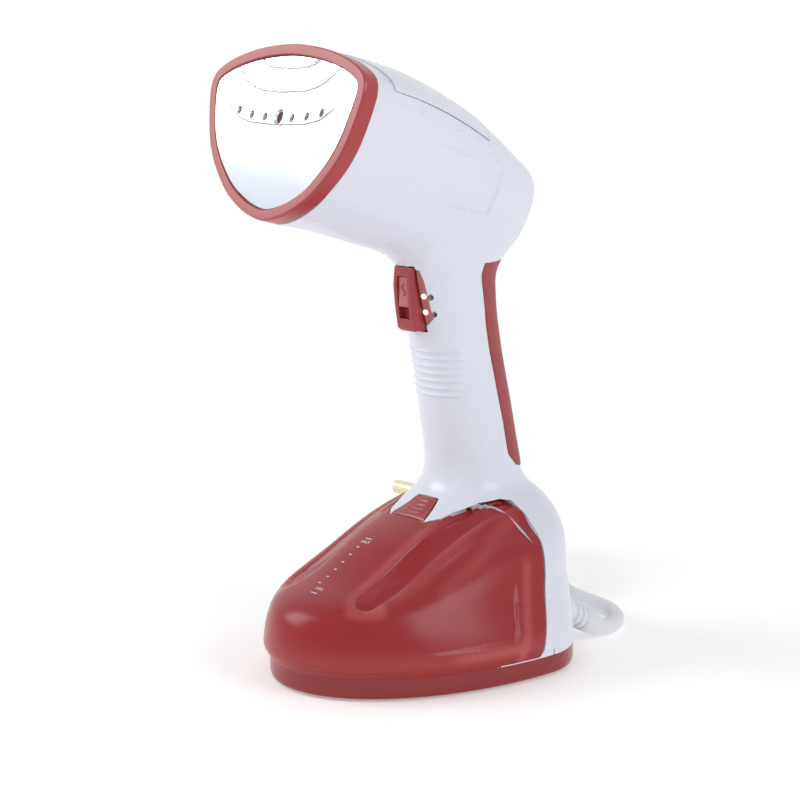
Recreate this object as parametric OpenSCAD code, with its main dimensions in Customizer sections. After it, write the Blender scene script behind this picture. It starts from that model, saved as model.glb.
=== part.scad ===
// Handheld garment steamer: a head with a steam plate, a grip with a trigger, and a base that
// carries a removable water tank. It stands on its foot; +Z is up and the steam plate faces -Y.

/* [Base] */
// Width of the base at its foot
foot_w = 80; // [76:0.5:86]
// Reach of the foot ahead of the origin
foot_front = 43; // [40:0.5:46]
// Reach of the foot behind the origin
foot_back = 50; // [48:0.5:54]
// Height of the foot band
foot_h = 6.5; // [6:0.25:8]
// Thickness of the tray that shows as a pale line above the foot
tray_t = 1.8; // [1.6:0.1:2.4]

/* [Grip] */
// Width of the grip
grip_w = 23; // [22:0.5:26]
// Depth of the inlay on the back of the grip
inlay_t = 1; // [0.8:0.1:1.2]

/* [Head] */
// Width of the front ring
face_w = 65; // [62:0.5:70]
// Height of the front ring, measured along its face
face_h = 49; // [47:0.5:51]
// Backward lean of the face, in degrees
face_lean = 14; // [12:0.5:16]
// How far the face bulges forward at mid height
face_bow = 2; // [1:0.25:3]
// Width of the front ring's face
bezel_w = 3; // [2.5:0.1:3.5]

/* [Walls and fits] */
// Wall of the housings
wall = 2.2; // [2:0.1:2.6]
// Wall of the water tank
tank_wall = 1.6; // [1.4:0.1:2.2]
// Gap between the tank and the housing around it
tank_gap = 0.35; // [0.3:0.05:0.6]
// Gap round a button or a trigger in its opening
key_gap = 0.35; // [0.3:0.05:0.5]
// Radial clearance of a running pin
run_gap = 0.05; // [0.02:0.01:0.08]
// Gap between fixed pieces that are put together
seat_gap = 0.1; // [0.05:0.05:0.2]

/* [Trigger] */
// Width of the trigger's face
trigger_w = 7; // [6:0.5:8]
// Diameter of the trigger's pin
trigger_pin_d = 2.4; // [2:0.1:2.8]
// Width of the lock slider
slider_w = 4; // [3.5:0.1:4.4]
// Travel of the lock slider
slider_travel = 3.2; // [2.5:0.1:3.4]

/* [Steam plate] */
// Diameter of a small steam vent
vent_d = 2.1; // [1.6:0.1:2.6]
// Diameter of the middle steam vent
vent_mid_d = 4; // [3:0.1:5]
// Diameter of the heating element's tube
element_d = 5; // [4.5:0.1:5.5]
// Depth of the steam chamber's casting
chamber_t = 7.8; // [7:0.1:8.4]

/* [Water path] */
// Outer diameter of the hoses
hose_d = 5; // [4:0.25:5.5]
// Diameter of the filler's neck
filler_d = 12; // [10:0.5:13]
// Diameter of the tank valve's body
valve_d = 8; // [7:0.5:9]
// Diameter of the pump's barrel
pump_d = 9; // [8:0.5:10]

/* [Mains lead] */
// Diameter of the mains lead
cord_d = 5.2; // [5:0.1:6]
// Diameter of a plug pin
pin_d = 4.8; // [4.8:0.1:4.8]
// Distance between the plug pins
pin_gap = 19; // [19:1:19]
// Length of a plug pin
pin_l = 19; // [19:1:19]

/* [Hidden] */
// Points round one ring of the envelope, and rings between two stations
N = 40;
SUB = 3;
CYL = 48;
BIG = 200;

// A station is [front y, front z, back y, back z, half width, place of the widest line,
// slope of the sides, roundness, forward bow]
face_y = -52;
face_z = 132;
face_top = [face_y + face_h * sin(face_lean), face_z + face_h * cos(face_lean)];
rim_depth = 6;
rim_y = face_y + rim_depth * cos(face_lean);
rim_z = face_z - rim_depth * sin(face_lean);
STATIONS = [
    [-foot_front, foot_h, foot_back, foot_h, foot_w / 2, 0.70, 0, 2.0, 0],
    [-foot_front - 2.5, 11.5, foot_back, 14, foot_w / 2, 0.70, 0, 2.0, 0],
    [-foot_front + 1, 23.5, foot_back + 1.5, 25.5, foot_w / 2 - 5, 0.69, 0, 2.05, 0],
    [-25.5, 30.5, foot_back + 1.5, 38.5, 31, 0.67, 0, 2.1, 0],
    [-10.5, 39, foot_back - 0.5, 46, 24, 0.63, 0, 2.1, 0],
    [7, 46.5, 43.5, 52.5, 16, 0.56, 0, 2.1, 0],
    [13.5, 54.5, 42, 60, grip_w / 2 + 2, 0.51, 0, 2.1, 0],
    [11, 72, 39, 75, grip_w / 2 + 0.5, 0.50, 0, 2.2, 0],
    [7.5, 90, 35, 92, grip_w / 2, 0.50, 0, 2.2, 0],
    [4, 103, 32, 107, grip_w / 2 + 1, 0.50, 0, 2.2, 0],
    [1.5, 112, 33, 116.5, grip_w / 2 + 1.5, 0.50, 0, 2.2, 0],
    [0, 116.5, 42, 127, 15, 0.50, 3, 2.2, 0],
    [-4, 119.5, 44.5, 140, 17.5, 0.52, 6, 2.2, 0],
    [-9.5, 122, 34, 149, 20.5, 0.55, 9, 2.15, 0],
    [-19.5, 124.5, 14.5, 161.5, face_w / 2 - 9, 0.58, 13, 2.1, 0.5],
    [-33.5, 128, -11.5, 172.5, face_w / 2 - 5, 0.61, 17, 2.1, 1.2],
    [rim_y, rim_z, face_top[0] + rim_y - face_y, face_top[1] + rim_z - face_z,
        face_w / 2 - 1, 0.64, 18, 2.1, 0.9 * face_bow],
    [face_y, face_z, face_top[0], face_top[1], face_w / 2, 0.65, 18, 2.1, face_bow]
];
RIM = 16;
FACE = 17;

// Side-view lines, as [y, z] points
SEAM = [
    [22, 0], [22.4, 10.5], [26.5, 21], [30, 31.5], [30.3, 38], [30.5, 41.5], [29.5, 46], [28.3, 50],
    [27.8, 59], [25, 77], [22, 90], [17.5, 105], [14.5, 119], [15.5, 132], [18.8, 144.5],
    [13.5, 151.5], [20, 170], [20, BIG]
];
COVER_LINE = [[-31, BIG], [-31, 165.5], [13.5, 151.5], [20, 170], [20, BIG]];
TANK_LINE = [
    [-70, foot_h + tray_t + 0.3], [17.4, foot_h + tray_t + 0.3], [18, 12], [24.4, 28.4],
    [26.5, 37.7], [27, 44], [26, 47.4], [23, 48], [16.7, 47.4], [10.4, 45.7], [4.8, 44.1],
    [4.8, 80], [-70, 80]
];
CHANNEL = [[-7.6, 1], [7.6, 1], [10.6, 4.8], [11.5, 8], [11.5, 40], [-11.5, 40], [-11.5, 8], [-10.6, 4.8]];
channel_z = 36;
well_z = 31;
well_y = 8;
INLAY_LINE = [
    [19.3, 117.5], [18.8, 114], [21.6, 100], [25.6, 85], [29, 70.5], [30.5, 60], [34, 56.5],
    [38, 55.5], [60, 55.5], [60, 117.5]
];
LENS_LINE = [[-3, 116.4], [-3, 98.6], [5.3, 98.6], [6, 102.2], [1.8, 116.4]];
lens_half = 7;
LIGHTS = [[6.4, 7, 103.4], [6.4, 5.5, 108.4]];
light_d = 1.6;

// Trigger, its lock slider and the switch behind it
trig_z0 = 98.2;
trig_z1 = 116.9;
trig_back = 8.2;
trig_spring_back = 7.2;
hinge_y = 4.6;
hinge_z = 114.6;
cheek_t = 2.6;
slider_z0 = 105.4;
slider_z1 = 114;
slider_back = 2.2;
switch_y0 = 11.4;
switch_y1 = 17.8;
switch_z0 = 99;
switch_z1 = 111.8;
plunger_d = 1.6;
plunger_z = 102.5;
plunger_stroke = 1.6;
trig_spring_z = 108.5;
trig_spring_d = 3.4;

// Release button, set square to the slope of the tank's top
key_at = [0, 5.7, 45.9];
key_tilt = 28.7;
key_len = 9.4;
key_w0 = 13.4;
key_w1 = 8.2;
key_t = 2.6;
key_proud = 0.3;
key_stem_d = 4;
key_stem_l = 1.8;
key_spring_d = 5.6;

// Foot and its screws
sole = 0.6;
sole_t = 1.8;
FEET = [[-24, 0], [24, 0], [-15, 40], [15, 40]];
feet_d = 9;
post_d = 7;
cover_screw_d = 2.6;
cover_screw_head = 5;
head_t = 1.4;
POSTS = [[-14, -30], [14, -30], [-30, 24], [30, 24]];
front_post_top = 4.4;

// Screws of the grip: [back of the grip, height, front of the grip] at each
JOINTS = [[40.8, 66, 12.2], [36, 88, 7.8]];
joint_screw_d = 2.4;
joint_head = 4.4;
joint_boss_d = 5.2;
joint_depth = 7;

// Steam plate and chamber
plate_inset = bezel_w + 1;
plate_t = 1.2;
bow_r = (face_h * face_h / 4 + face_bow * face_bow) / (2 * face_bow);
lid_y0 = 3;
lid_t = 1.2;
casting_y0 = lid_y0 + lid_t;
casting_y1 = casting_y0 + chamber_t;
casting_inset = 9.5;
shield_t = 1;
shield_y1 = casting_y1 + 6;
u_r = min(face_w / 2 - 20.5, face_h / 2 - casting_inset - 3);
u_v = casting_inset + u_r + element_d / 2 + 3;
u_arm = face_h - casting_inset - u_v - 3.5;
vent_mid_v = face_h - 19.9;
vent_gap = 5.8;
VENTS = [for (i = [-3, -2, -1, 1, 2, 3]) [i * vent_gap - sign(i) * 0.2, vent_mid_v + 0.2 * (i * i - 1)]];
nozzle_v = face_h - 12.5;
fuse_d = 3.4;
fuse_at = [casting_inset - face_w / 2 + 6.2, casting_y1 + fuse_d / 2 + 0.2, face_h - 26];
thermostat_d = 0.75 * u_r;
thermostat_t = 4;
wire_hole_at = [8, face_h - 34];

// Valve of the tank, and the coupling that it docks in
valve_z = 15;
valve_y0 = 11;
valve_y1 = 20.6;
valve_bore = valve_d - 2.4;
valve_seat_y = valve_y1 - 2;
poppet_d = valve_d - 3.2;
poppet_t = 2.3;
poppet_stem_d = 2;
poppet_gap = 0.3;
coupling_y0 = 20.9;
coupling_seat_y = 22.6;
coupling_y1 = 24.2;
barb_d = 3.4;
barb_y = 27.8;
filler_y = 16;
stopper_t = 1.1;

// Pump: a plunger driven by a coil
pump_at = [0, foot_back - 10, 27];
pump_l = 31;
nipple_l = 3.5;
pump_bore = 5;
pump_bore_l = pump_l - 2 * nipple_l - 2;
plunger_l = 12;
plunger_bore = 1.6;
coil_l = 18;
coil_s = 14;

// Mains lead: where it leaves the rear cover, and the points that its middle runs through
gland_at = [foot_w / 2 - 16, foot_back - 7, 12.4];
gland_tilt = -28;
gland_l = 18;
relief_d = 7.6;
gland_end = gland_at + gland_l * [0, cos(gland_tilt), sin(gland_tilt)];
coil_at = [-54.4, 72.6, 0.8];
tie_t = 0.8;
coil_r = 28;
coil_n = 3;
coil_half = coil_n * cord_d / 2;
clamp_y = gland_at[1] * [1, 1] - [12.1, 6.9];
clamp_half = 5.5;
clamp_screw_x = 4.3;
clamp_screw_d = 1.8;
clamp_z = gland_at[2] + (clamp_y[1] - gland_at[1]) * tan(gland_tilt);
clamp_top = clamp_z + cord_d / 2 + 1.6;
LEAD = [
    [gland_at[0], clamp_y[0] - 0.9, clamp_z], [gland_at[0], clamp_y[0] + 3, clamp_z],
    [gland_at[0], clamp_y[1] + 1.3, clamp_z - 0.3], gland_at,
    gland_end, [22.4, 67, 3], [17.8, 73.8, 3], [11, 78.5, 3], [3, 80, 3], [-8, 81.5, 3], [-20, 86, 3.2],
    [-32, 93, 3.4], [-42, 98, 3.6]
];
plug_at = [-46, 95.4, 24.1];
plug_l = 30;
plug_w = 30;
TAIL = [
    [-39.7, 55.1, 13.9], [-32.6, 64.3, 15.5], [-29.5, 75.6, 19], [-31.1, 85.9, 21.6], [-37, 92.9, 23.7],
    plug_at + [3, 0, 0], plug_at
];
SUCTION = [
    [0, coupling_y1 + 0.4, valve_z], [0, barb_y, valve_z], [-3.6, 29.6, valve_z], [-9, 30.4, 14.8],
    pump_at + [-pump_l / 2, -7.4, -11.6], pump_at + [-pump_l / 2 - 4, -3.4, -7],
    pump_at + [-pump_l / 2 - 4, 0, -0.8], pump_at + [-pump_l / 2 - 0.3, 0, 0],
    pump_at + [-pump_l / 2 + nipple_l - 0.4, 0, 0]
];
DELIVERY = [
    pump_at + [pump_l / 2 - nipple_l + 0.4, 0, 0], pump_at + [pump_l / 2 + 0.4, 0, 0.2],
    pump_at + [pump_l / 2 + 3.2, 0, 3], pump_at + [pump_l / 2 + 2, -0.6, 9], [14.6, 38, 43],
    [9.5, 36, 48.5], [6.6, 34, 54], [5.8, 31, 64], [5.6, 28, 76], [5.4, 25, 90], [4.5, 23.5, 104],
    [4, 24, 116], [3, 24, 128], [2, 17, 138], [1, 6, 145], [0, -6, 152],
    face_point(0, casting_y1 + 10, nozzle_v), face_point(0, casting_y1 + 3.3, nozzle_v)
];

// Wires: from the board up to the thermostat, and from the mains lead to the board
wire_d = 1.8;
CONTROL_WIRES = [
    [-4, 40, 42.5], [-4, 36, 46], [-5.5, 31.5, 54], [-5.5, 29, 66], [-5.5, 26, 80], [-5.5, 24, 94],
    [-5, 22, 108], [-6, 20, 120], [-8, 12, 130], [-9, -2, 138],
    face_point(-wire_hole_at[0], shield_y1 + 6, wire_hole_at[1] - 2),
    face_point(-wire_hole_at[0], shield_y1, wire_hole_at[1]),
    face_point(0.4 - wire_hole_at[0], shield_y1 - 2.8, wire_hole_at[1] + 2.4),
    face_point(3.4 - wire_hole_at[0], shield_y1 - 3.4, u_v - thermostat_d / 2 - wire_d / 2 - 0.2)
];
MAINS_WIRES = [
    [gland_at[0], clamp_y[0] - 0.9, clamp_z], [gland_at[0], clamp_y[0] - 2.5, clamp_z],
    [gland_at[0] - 1.4, 27.4, 20], [gland_at[0] - 4.5, 28.6, 26], [16, 32, 32.5],
    [14.8, 34.5, 37.4], [11.6, 35.5, 40.2], [8.4, 35.5, 41.4]
];

// Control board
board_z = 36;
board_t = 1.4;

// ---- curves -------------------------------------------------------------------------------

// Point at share t between b and c of the smooth curve through a, b, c and d
function cubic(a, b, c, d, t) =
    0.5 * (2 * b + (c - a) * t + (2 * a - 5 * b + 4 * c - d) * t * t
        + (3 * b - a - 3 * c + d) * t * t * t);

// Value of the smooth curve through a list of points, at place t counted in points
function along(list, t) =
    let (i = min(floor(t), len(list) - 2), a = list[i], b = list[i + 1])
    cubic(i > 0 ? list[i - 1] : 2 * a - b, a, b, i < len(list) - 2 ? list[i + 2] : 2 * b - a, t - i);

// Outline h high and 2w wide that starts at its bottom: an ellipse whose lower sides can slope
function outline(h, w, m, slope, p) =
    let (raw = [for (i = [0:N - 1])
            let (c = cos(i * 360 / N - 90), s = sin(i * 360 / N - 90),
                k = pow(max(0, s / ((1 - m) * h)), p) + pow(max(0, -s / (m * h)), p)
                    + pow(max(0, c - s * tan(slope)) / w, p)
                    + pow(max(0, -c - s * tan(slope)) / w, p),
                r = pow(k, -1 / p))
            [r * c, r * s]],
        wide = max([for (q = raw) q[0]]),
        low = min([for (q = raw) q[1]]),
        high = max([for (q = raw) q[1]]))
    [for (q = raw) [q[0] * w / wide, (q[1] - low) * h / (high - low)]];

// Ring of the envelope at station s, g inside the surface
function ring(s, g = 0) =
    let (full = norm([s[2] - s[0], s[3] - s[1]]), h = full - 2 * g,
        ey = (s[2] - s[0]) / full, ez = (s[3] - s[1]) / full)
    [for (q = outline(h, s[4] - g, s[5], s[6], s[7]))
        let (b = s[8] * 4 * q[1] / h * (1 - q[1] / h))
        [q[0], s[0] + ey * (g + q[1]) - ez * b, s[1] + ez * (g + q[1]) + ey * b]];

// Rings from station t0 to station t1
function rings(t0, t1, g = 0) = [for (j = [t0 * SUB:t1 * SUB]) ring(along(STATIONS, j / SUB), g)];

// Ring of the face's outline, d behind the face and g inside the outline
function face_ring(d, g) = ring(STATIONS[FACE] + (STATIONS[RIM] - STATIONS[FACE]) * d / rim_depth, g);

// Point x across the face, d behind it and v up it from its tip
function face_point(x, d, v) =
    [x, face_y + d * cos(face_lean) + v * sin(face_lean), face_z - d * sin(face_lean) + v * cos(face_lean)];

// Outline of the face, g inside its edge, in the face's own plane
function face_outline(g) =
    [for (q = outline(face_h - 2 * g, face_w / 2 - g, 0.65, 18, 2.1)) [q[0], q[1] + g]];

// Polygon p with each side moved outward by g (its points run anticlockwise)
function grown(p, g) =
    [for (i = [0:len(p) - 1])
        let (a = p[(i + len(p) - 1) % len(p)], b = p[i], c = p[(i + 1) % len(p)],
            u = (b - a) / norm(b - a), v = (c - b) / norm(c - b),
            m = [u[1] + v[1], -u[0] - v[0]])
        b + m * g / (1 + u * v)];

// Circle of n points round the curve through list, at place t
function tube_ring(list, t, d, n) =
    let (p = along(list, t), q = along(list, min(t + 0.02, len(list) - 1)),
        o = along(list, max(t - 0.02, 0)), f = (q - o) / norm(q - o),
        side = cross(f, abs(f[2]) > 0.9 ? [0, 1, 0] : [0, 0, 1]), r = side / norm(side),
        up = cross(f, r))
    [for (i = [0:n - 1]) p + d / 2 * (cos(i * 360 / n) * r + sin(i * 360 / n) * up)];

// ---- shapes -------------------------------------------------------------------------------

// Solid through a list of rings; a loop joins its last ring to its first
module skin(list, loop = false) {
    n = len(list[0]);
    k = len(list);
    sides = [for (j = [0:loop ? k - 1 : k - 2]) for (i = [0:n - 1])
        let (a = j * n + i, b = j * n + (i + 1) % n, c = (j + 1) % k * n + (i + 1) % n,
            d = (j + 1) % k * n + i)
        each [[a, d, c], [a, c, b]]];
    ends = [for (i = [0:n / 2 - 1]) each [[i, i + 1, (n - i - 1) % n], [i, n - i - 1, (n - i) % n]]];
    closed = [for (f = ends) if (f[0] != f[1] && f[1] != f[2] && f[0] != f[2]) f];
    far = [for (f = closed) [f[2], f[1], f[0]] + (k - 1) * n * [1, 1, 1]];
    polyhedron([for (r = list) each r], loop ? sides : concat(sides, closed, far), convexity = 10);
}

// Solid of the envelope between two stations, g inside the surface
module envelope(t0, t1, g = 0) {
    skin(rings(t0, t1, g));
}

// Skin of the envelope between two stations, from g0 to g1 inside the surface
module envelope_skin(t0, t1, g0, g1) {
    inner = rings(t0, t1, g1);
    skin(concat(rings(t0, t1, g0), [for (j = [len(inner) - 1:-1:0]) inner[j]]), loop = true);
}

// Round solid along a list of points
module tube(list, d, step = 0.5, n = 8) {
    skin([for (t = [0:step:len(list) - 1]) tube_ring(list, t, d, n)]);
}

// Hose with a bore along a list of points
module hose(list, d, bore, step) {
    places = [for (t = [0:step:len(list) - 1]) t];
    skin(concat([for (t = places) tube_ring(list, t, d, 8)],
        [for (i = [len(places) - 1:-1:0]) tube_ring(list, places[i], bore, 8)]), loop = true);
}

// Side-view outline made solid across the width
module across(points, half = 60) {
    rotate([90, 0, 90]) linear_extrude(height = 2 * half, center = true) polygon(points);
}

// The face's own frame: x across, y into the head, z up the face from its tip
module at_face() {
    translate([0, face_y, face_z]) rotate([-face_lean, 0, 0]) children();
}

// Outline of the face made solid from depth y0 to y1
module face_block(g, y0, y1) {
    translate([0, y1, 0]) rotate([90, 0, 0]) linear_extrude(height = y1 - y0) polygon(face_outline(g));
}

// Drum whose front is the bulging face, with its skin t deeper
module bow_drum(t) {
    translate([-50, bow_r - face_bow, face_h / 2]) rotate([0, 90, 0])
        cylinder(r = bow_r - t, h = 100, $fn = 200);
}

// Round bar along Y, X or Z
module bar_y(d, y0, y1) {
    translate([0, y0, 0]) rotate([-90, 0, 0]) cylinder(d = d, h = y1 - y0, $fn = CYL);
}

module bar_x(d, x0, x1) {
    translate([x0, 0, 0]) rotate([0, 90, 0]) cylinder(d = d, h = x1 - x0, $fn = CYL);
}

module bar_z(d, z0, z1) {
    translate([0, 0, z0]) cylinder(d = d, h = z1 - z0, $fn = CYL);
}

// Box from one corner to the other
module box(a, b) {
    translate(a) cube(b - a);
}

// Outline of the foot, g inside its edge
function foot_outline(g) =
    [for (q = outline(foot_front + foot_back - 2 * g, foot_w / 2 - g, 0.70, 0, 2.0))
        [q[0], q[1] + g - foot_front]];

// Space of the tank and what it clears: g is added all round
module tank_space(g) {
    difference() {
        across(grown(TANK_LINE, g));
        translate([0, 0, channel_z + g]) linear_extrude(height = BIG) polygon(grown(CHANNEL, -g));
    }
}

module key_frame() {
    translate(key_at) rotate([key_tilt, 0, 0]) children();
}

// Release button's outline, made solid from z0 to z1 in its own frame
module key_block(g, z0, z1) {
    translate([0, 0, z0]) linear_extrude(height = z1 - z0)
        polygon(grown([[-key_w0 / 2, -key_len / 2], [key_w0 / 2, -key_len / 2],
            [key_w1 / 2, key_len / 2], [-key_w1 / 2, key_len / 2]], g));
}

// ---- base ---------------------------------------------------------------------------------

module base_cover() {
    color("firebrick") difference() {
        union() {
            difference() {
                skin([
                    [for (q = foot_outline(1.4)) [q[0], q[1], sole]],
                    [for (q = foot_outline(0.3)) [q[0], q[1], sole + 0.5]],
                    [for (q = foot_outline(0)) [q[0], q[1], sole + 1.5]],
                    [for (q = foot_outline(0)) [q[0], q[1], foot_h]]
                ]);
                translate([0, 0, sole + sole_t]) linear_extrude(height = foot_h) polygon(foot_outline(wall));
            }
            for (p = POSTS) translate(p) bar_z(post_d, sole + 1, p[1] < 0 ? front_post_top : foot_h);
        }
        for (p = POSTS) translate(p) {
            bar_z(cover_screw_d + 0.3, -1, foot_h + 1);
            bar_z(cover_screw_head + 0.6, -1, sole + 2);
        }
        for (p = FEET) translate(p) bar_z(feet_d + 2 * seat_gap, -1, sole + 0.7);
    }
}

module rubber_feet() {
    color("dimgray") for (p = FEET) translate(p) bar_z(feet_d, 0, sole + 0.7);
}

// Pan-head screw along +Z with its head's underside at z = 0
module screw(d, l, head_d) {
    bar_z(d, -0.5, l);
    bar_z(head_d, -head_t, 0);
}

module cover_screws() {
    color("silver") for (p = POSTS) translate([p[0], p[1], sole + 2])
        screw(cover_screw_d, foot_h - (p[1] < 0 ? 0.9 : -1.5), cover_screw_head);
}

module base_tray() {
    color("white") difference() {
        union() {
            difference() {
                translate([0, 0, foot_h]) linear_extrude(height = tray_t) polygon(foot_outline(0));
                across([[SEAM[1][0] - 0.6, 0], [70, 0], [70, 20], [SEAM[1][0] - 0.6, 20]]);
            }
            intersection() {
                translate([0, 0, foot_h]) linear_extrude(height = tray_t)
                    polygon(foot_outline(wall + seat_gap));
                box([-60, 15, 0], [60, 60, 20]);
            }
            for (p = [POSTS[0], POSTS[1]]) translate(p) bar_z(post_d, front_post_top + 0.1, foot_h + 1);
            for (p = [POSTS[2], POSTS[3]]) translate(p) bar_z(6, foot_h, 13);
        }
        for (p = POSTS) translate(p) bar_z(cover_screw_d, 0, 12);
    }
}

// ---- housings -----------------------------------------------------------------------------

module behind_seam(g = 0) {
    across(grown(concat([for (i = [len(SEAM) - 1:-1:0]) SEAM[i]], [[100, 0], [100, BIG]]), g));
}

// Wall between the tank and the works, and the keel that the release button works in
module bay_wall() {
    intersection() {
        envelope(0, 7, 1);
        union() {
            difference() {
                across(grown(TANK_LINE, tank_gap + tank_wall));
                across(grown(TANK_LINE, tank_gap));
                box([-11.2, -80, channel_z], [11.2, 80, 90]);
                box([-60, -80, 0], [60, 10, 90]);
                box([-60, -80, 0], [60, 80, foot_h + tray_t + 0.05]);
            }
            difference() {
                translate([0, 0, channel_z + tank_gap]) linear_extrude(height = 30)
                    polygon(grown(CHANNEL, -tank_gap));
                translate([0, 0, channel_z + tank_gap + tank_wall]) linear_extrude(height = 40)
                    polygon(grown(CHANNEL, -tank_gap - tank_wall));
                box([-20, 26, 0], [20, 80, 90]);
            }
        }
    }
}

module front_housing() {
    color("whitesmoke") difference() {
        union() {
            difference() {
                envelope_skin(0, RIM, 0, wall);
                behind_seam();
                across(COVER_LINE);
                tank_space(tank_gap);
                box([-60, -80, 0], [60, 5, foot_h + tray_t + 0.05]);
                box([-60, 0, 0], [60, 30, foot_h + tray_t + 0.05]);
            }
            bay_wall();
            for (p = JOINTS) translate([0, 0, p[1]]) bar_y(joint_boss_d, p[2] + 1.2, p[0] - joint_depth);
            intersection() {
                envelope(8, 11, 1);
                for (s = [-1, 1]) translate([s * (trigger_w / 2 + key_gap + cheek_t / 2 + 0.2), 0, 0])
                    box([-cheek_t / 2, 0, hinge_z - 3.2], [cheek_t / 2, hinge_y + 3, hinge_z + 2.6]);
            }
        }
        box([-trigger_w / 2 - key_gap, -20, trig_z0 - key_gap],
            [trigger_w / 2 + key_gap, trig_back + 0.8, trig_z1 + key_gap]);
        translate([0, hinge_y, hinge_z]) bar_x(trigger_pin_d, -7, 7);
        key_frame() key_block(key_gap, -4.2, 10);
        translate([0, 0, valve_z]) bar_y(valve_d + 4.6, 14, 26);
        difference() {
            across(LENS_LINE, lens_half);
            envelope(8, 12, 1.3);
            box([-trigger_w / 2, -30, 90], [trigger_w / 2, 30, 130]);
        }
        for (p = LIGHTS) translate(p) bar_y(light_d + 0.4, -1.5, 4);
        for (p = JOINTS) translate([0, 0, p[1]]) bar_y(joint_screw_d, p[0] - 16, p[0]);
    }
}

module rear_cover() {
    color("white") difference() {
        union() {
            intersection() {
                envelope_skin(0, RIM - 1, 0, wall);
                behind_seam();
            }
            intersection() {
                envelope(5, 9, wall / 2);
                for (p = JOINTS) translate([0, 0, p[1]])
                    bar_y(joint_boss_d + 1, p[0] - joint_depth + 0.1, p[0]);
            }
        }
        across(COVER_LINE);
        difference() {
            across(grown(INLAY_LINE, seat_gap));
            envelope(5, 12, inlay_t);
        }
        for (p = JOINTS) translate([0, 0, p[1]]) {
            bar_y(joint_screw_d + 0.2, p[0] - 9, p[0]);
            bar_y(joint_head + 0.4, p[0] - inlay_t - head_t - 0.9, p[0] + 2);
        }
        translate(gland_at) rotate([gland_tilt, 0, 0]) bar_y(relief_d + 2 * seat_gap, -8, 8);
    }
}

module head_top_cover() {
    color("white") intersection() {
        envelope_skin(13, RIM, -0.4, wall);
        across(grown(COVER_LINE, -seat_gap));
    }
}

module grip_inlay() {
    color("firebrick") intersection() {
        envelope_skin(5, 12, -0.2, inlay_t - 0.06);
        across(INLAY_LINE);
    }
}

// Screws under the grip's inlay that draw the rear cover to the front housing
module housing_screws() {
    color("silver") for (p = JOINTS) translate([0, p[0] - inlay_t - head_t - 0.9, p[1]])
        rotate([90, 0, 0]) screw(joint_screw_d, 10, joint_head);
}

// ---- head ---------------------------------------------------------------------------------

module bezel() {
    color("firebrick") skin([
        face_ring(rim_depth, 0), face_ring(3, -0.5), face_ring(0.8, -0.5), face_ring(0, 0.3),
        face_ring(0, bezel_w), face_ring(0.8, bezel_w + 0.4), face_ring(9.5, bezel_w + 1),
        face_ring(9.5, wall + 0.85), face_ring(rim_depth, wall + 0.85)
    ], loop = true);
}

module faceplate() {
    color("gainsboro") at_face() difference() {
        intersection() {
            face_block(plate_inset, -10, 10);
            translate([0, 1.2, 0]) difference() {
                bow_drum(0);
                bow_drum(plate_t);
            }
            box([-50, -10, 0], [50, 10, 60]);
        }
        for (q = VENTS) translate([q[0], 0, q[1]]) bar_y(vent_d, -10, 10);
        translate([0, 0, vent_mid_v]) bar_y(vent_mid_d, -10, 10);
    }
}

module chamber_gasket() {
    color("tomato") at_face() intersection() {
        difference() {
            face_block(plate_inset + 2, -10, lid_y0);
            face_block(plate_inset + 4.5, -11, lid_y0 + 1);
        }
        translate([0, 1.2, 0]) bow_drum(plate_t);
    }
}

module chamber_lid() {
    color("silver") at_face() difference() {
        face_block(plate_inset + 2, lid_y0, lid_y0 + lid_t);
        for (q = VENTS) translate([q[0] * 0.8, 0, q[1]]) bar_y(vent_d - 0.3, 0, 9);
        translate([0, 0, vent_mid_v]) bar_y(vent_mid_d - 1, 0, 9);
    }
}

// U-shaped heating element with arms l long, g added all round
module u_tube(g, l) {
    translate([0, casting_y1 - element_d / 2 + 1, u_v]) {
        rotate([90, 180, 0]) rotate_extrude(angle = 180, $fn = 64)
            translate([u_r, 0]) circle(d = element_d + 2 * g, $fn = 32);
        for (s = [-1, 1]) translate([s * u_r, 0, 0]) bar_z(element_d + 2 * g, 0, l);
    }
}

module steam_chamber() {
    color("darkgray") at_face() difference() {
        face_block(casting_inset, casting_y0, casting_y1);
        face_block(casting_inset + 2.5, casting_y0 - 1, casting_y0 + 2.2);
        u_tube(0.02, u_arm + 5);
        translate([0, 0, nozzle_v]) bar_y(3, 0, 40);
    }
}

module heating_element() {
    color("slategray") at_face() {
        u_tube(0, u_arm);
        for (s = [-1, 1]) translate([s * u_r, casting_y1 - element_d / 2 + 1, u_v])
            bar_z(2.2, u_arm, u_arm + 3);
    }
}

module heat_shield() {
    color("wheat") at_face() difference() {
        union() {
            face_block(wall + 3.8, 9.7, 9.7 + shield_t);
            face_block(casting_inset - 1.6, 9.7, shield_y1);
        }
        face_block(casting_inset - 0.6, 0, shield_y1 - shield_t);
        translate([0, 0, nozzle_v]) bar_y(7, 0, 60);
        for (s = [-1, 1]) translate([s * wire_hole_at[0], 0, wire_hole_at[1]]) bar_y(4, shield_y1 - 3, 60);
    }
}

module thermostat() {
    color("black") at_face() translate([0, casting_y1, u_v]) {
        bar_y(thermostat_d, 0, thermostat_t);
        for (s = [-1, 1]) box([s * 3 - 1.2, thermostat_t, -0.3], [s * 3 + 1.2, thermostat_t + 0.8, 0.3]);
    }
}

module thermal_fuse() {
    color("white") at_face() translate(fuse_at) {
        bar_z(fuse_d, 0, 9);
        bar_z(1, -2, 11);
    }
}

module inlet_nozzle() {
    color("goldenrod") at_face() translate([0, 0, nozzle_v]) difference() {
        union() {
            bar_y(5, casting_y1, casting_y1 + 3);
            bar_y(3.4, casting_y1, casting_y1 + 9);
        }
        bar_y(1.6, casting_y1 - 1, casting_y1 + 10);
    }
}

// ---- water path ---------------------------------------------------------------------------

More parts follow.
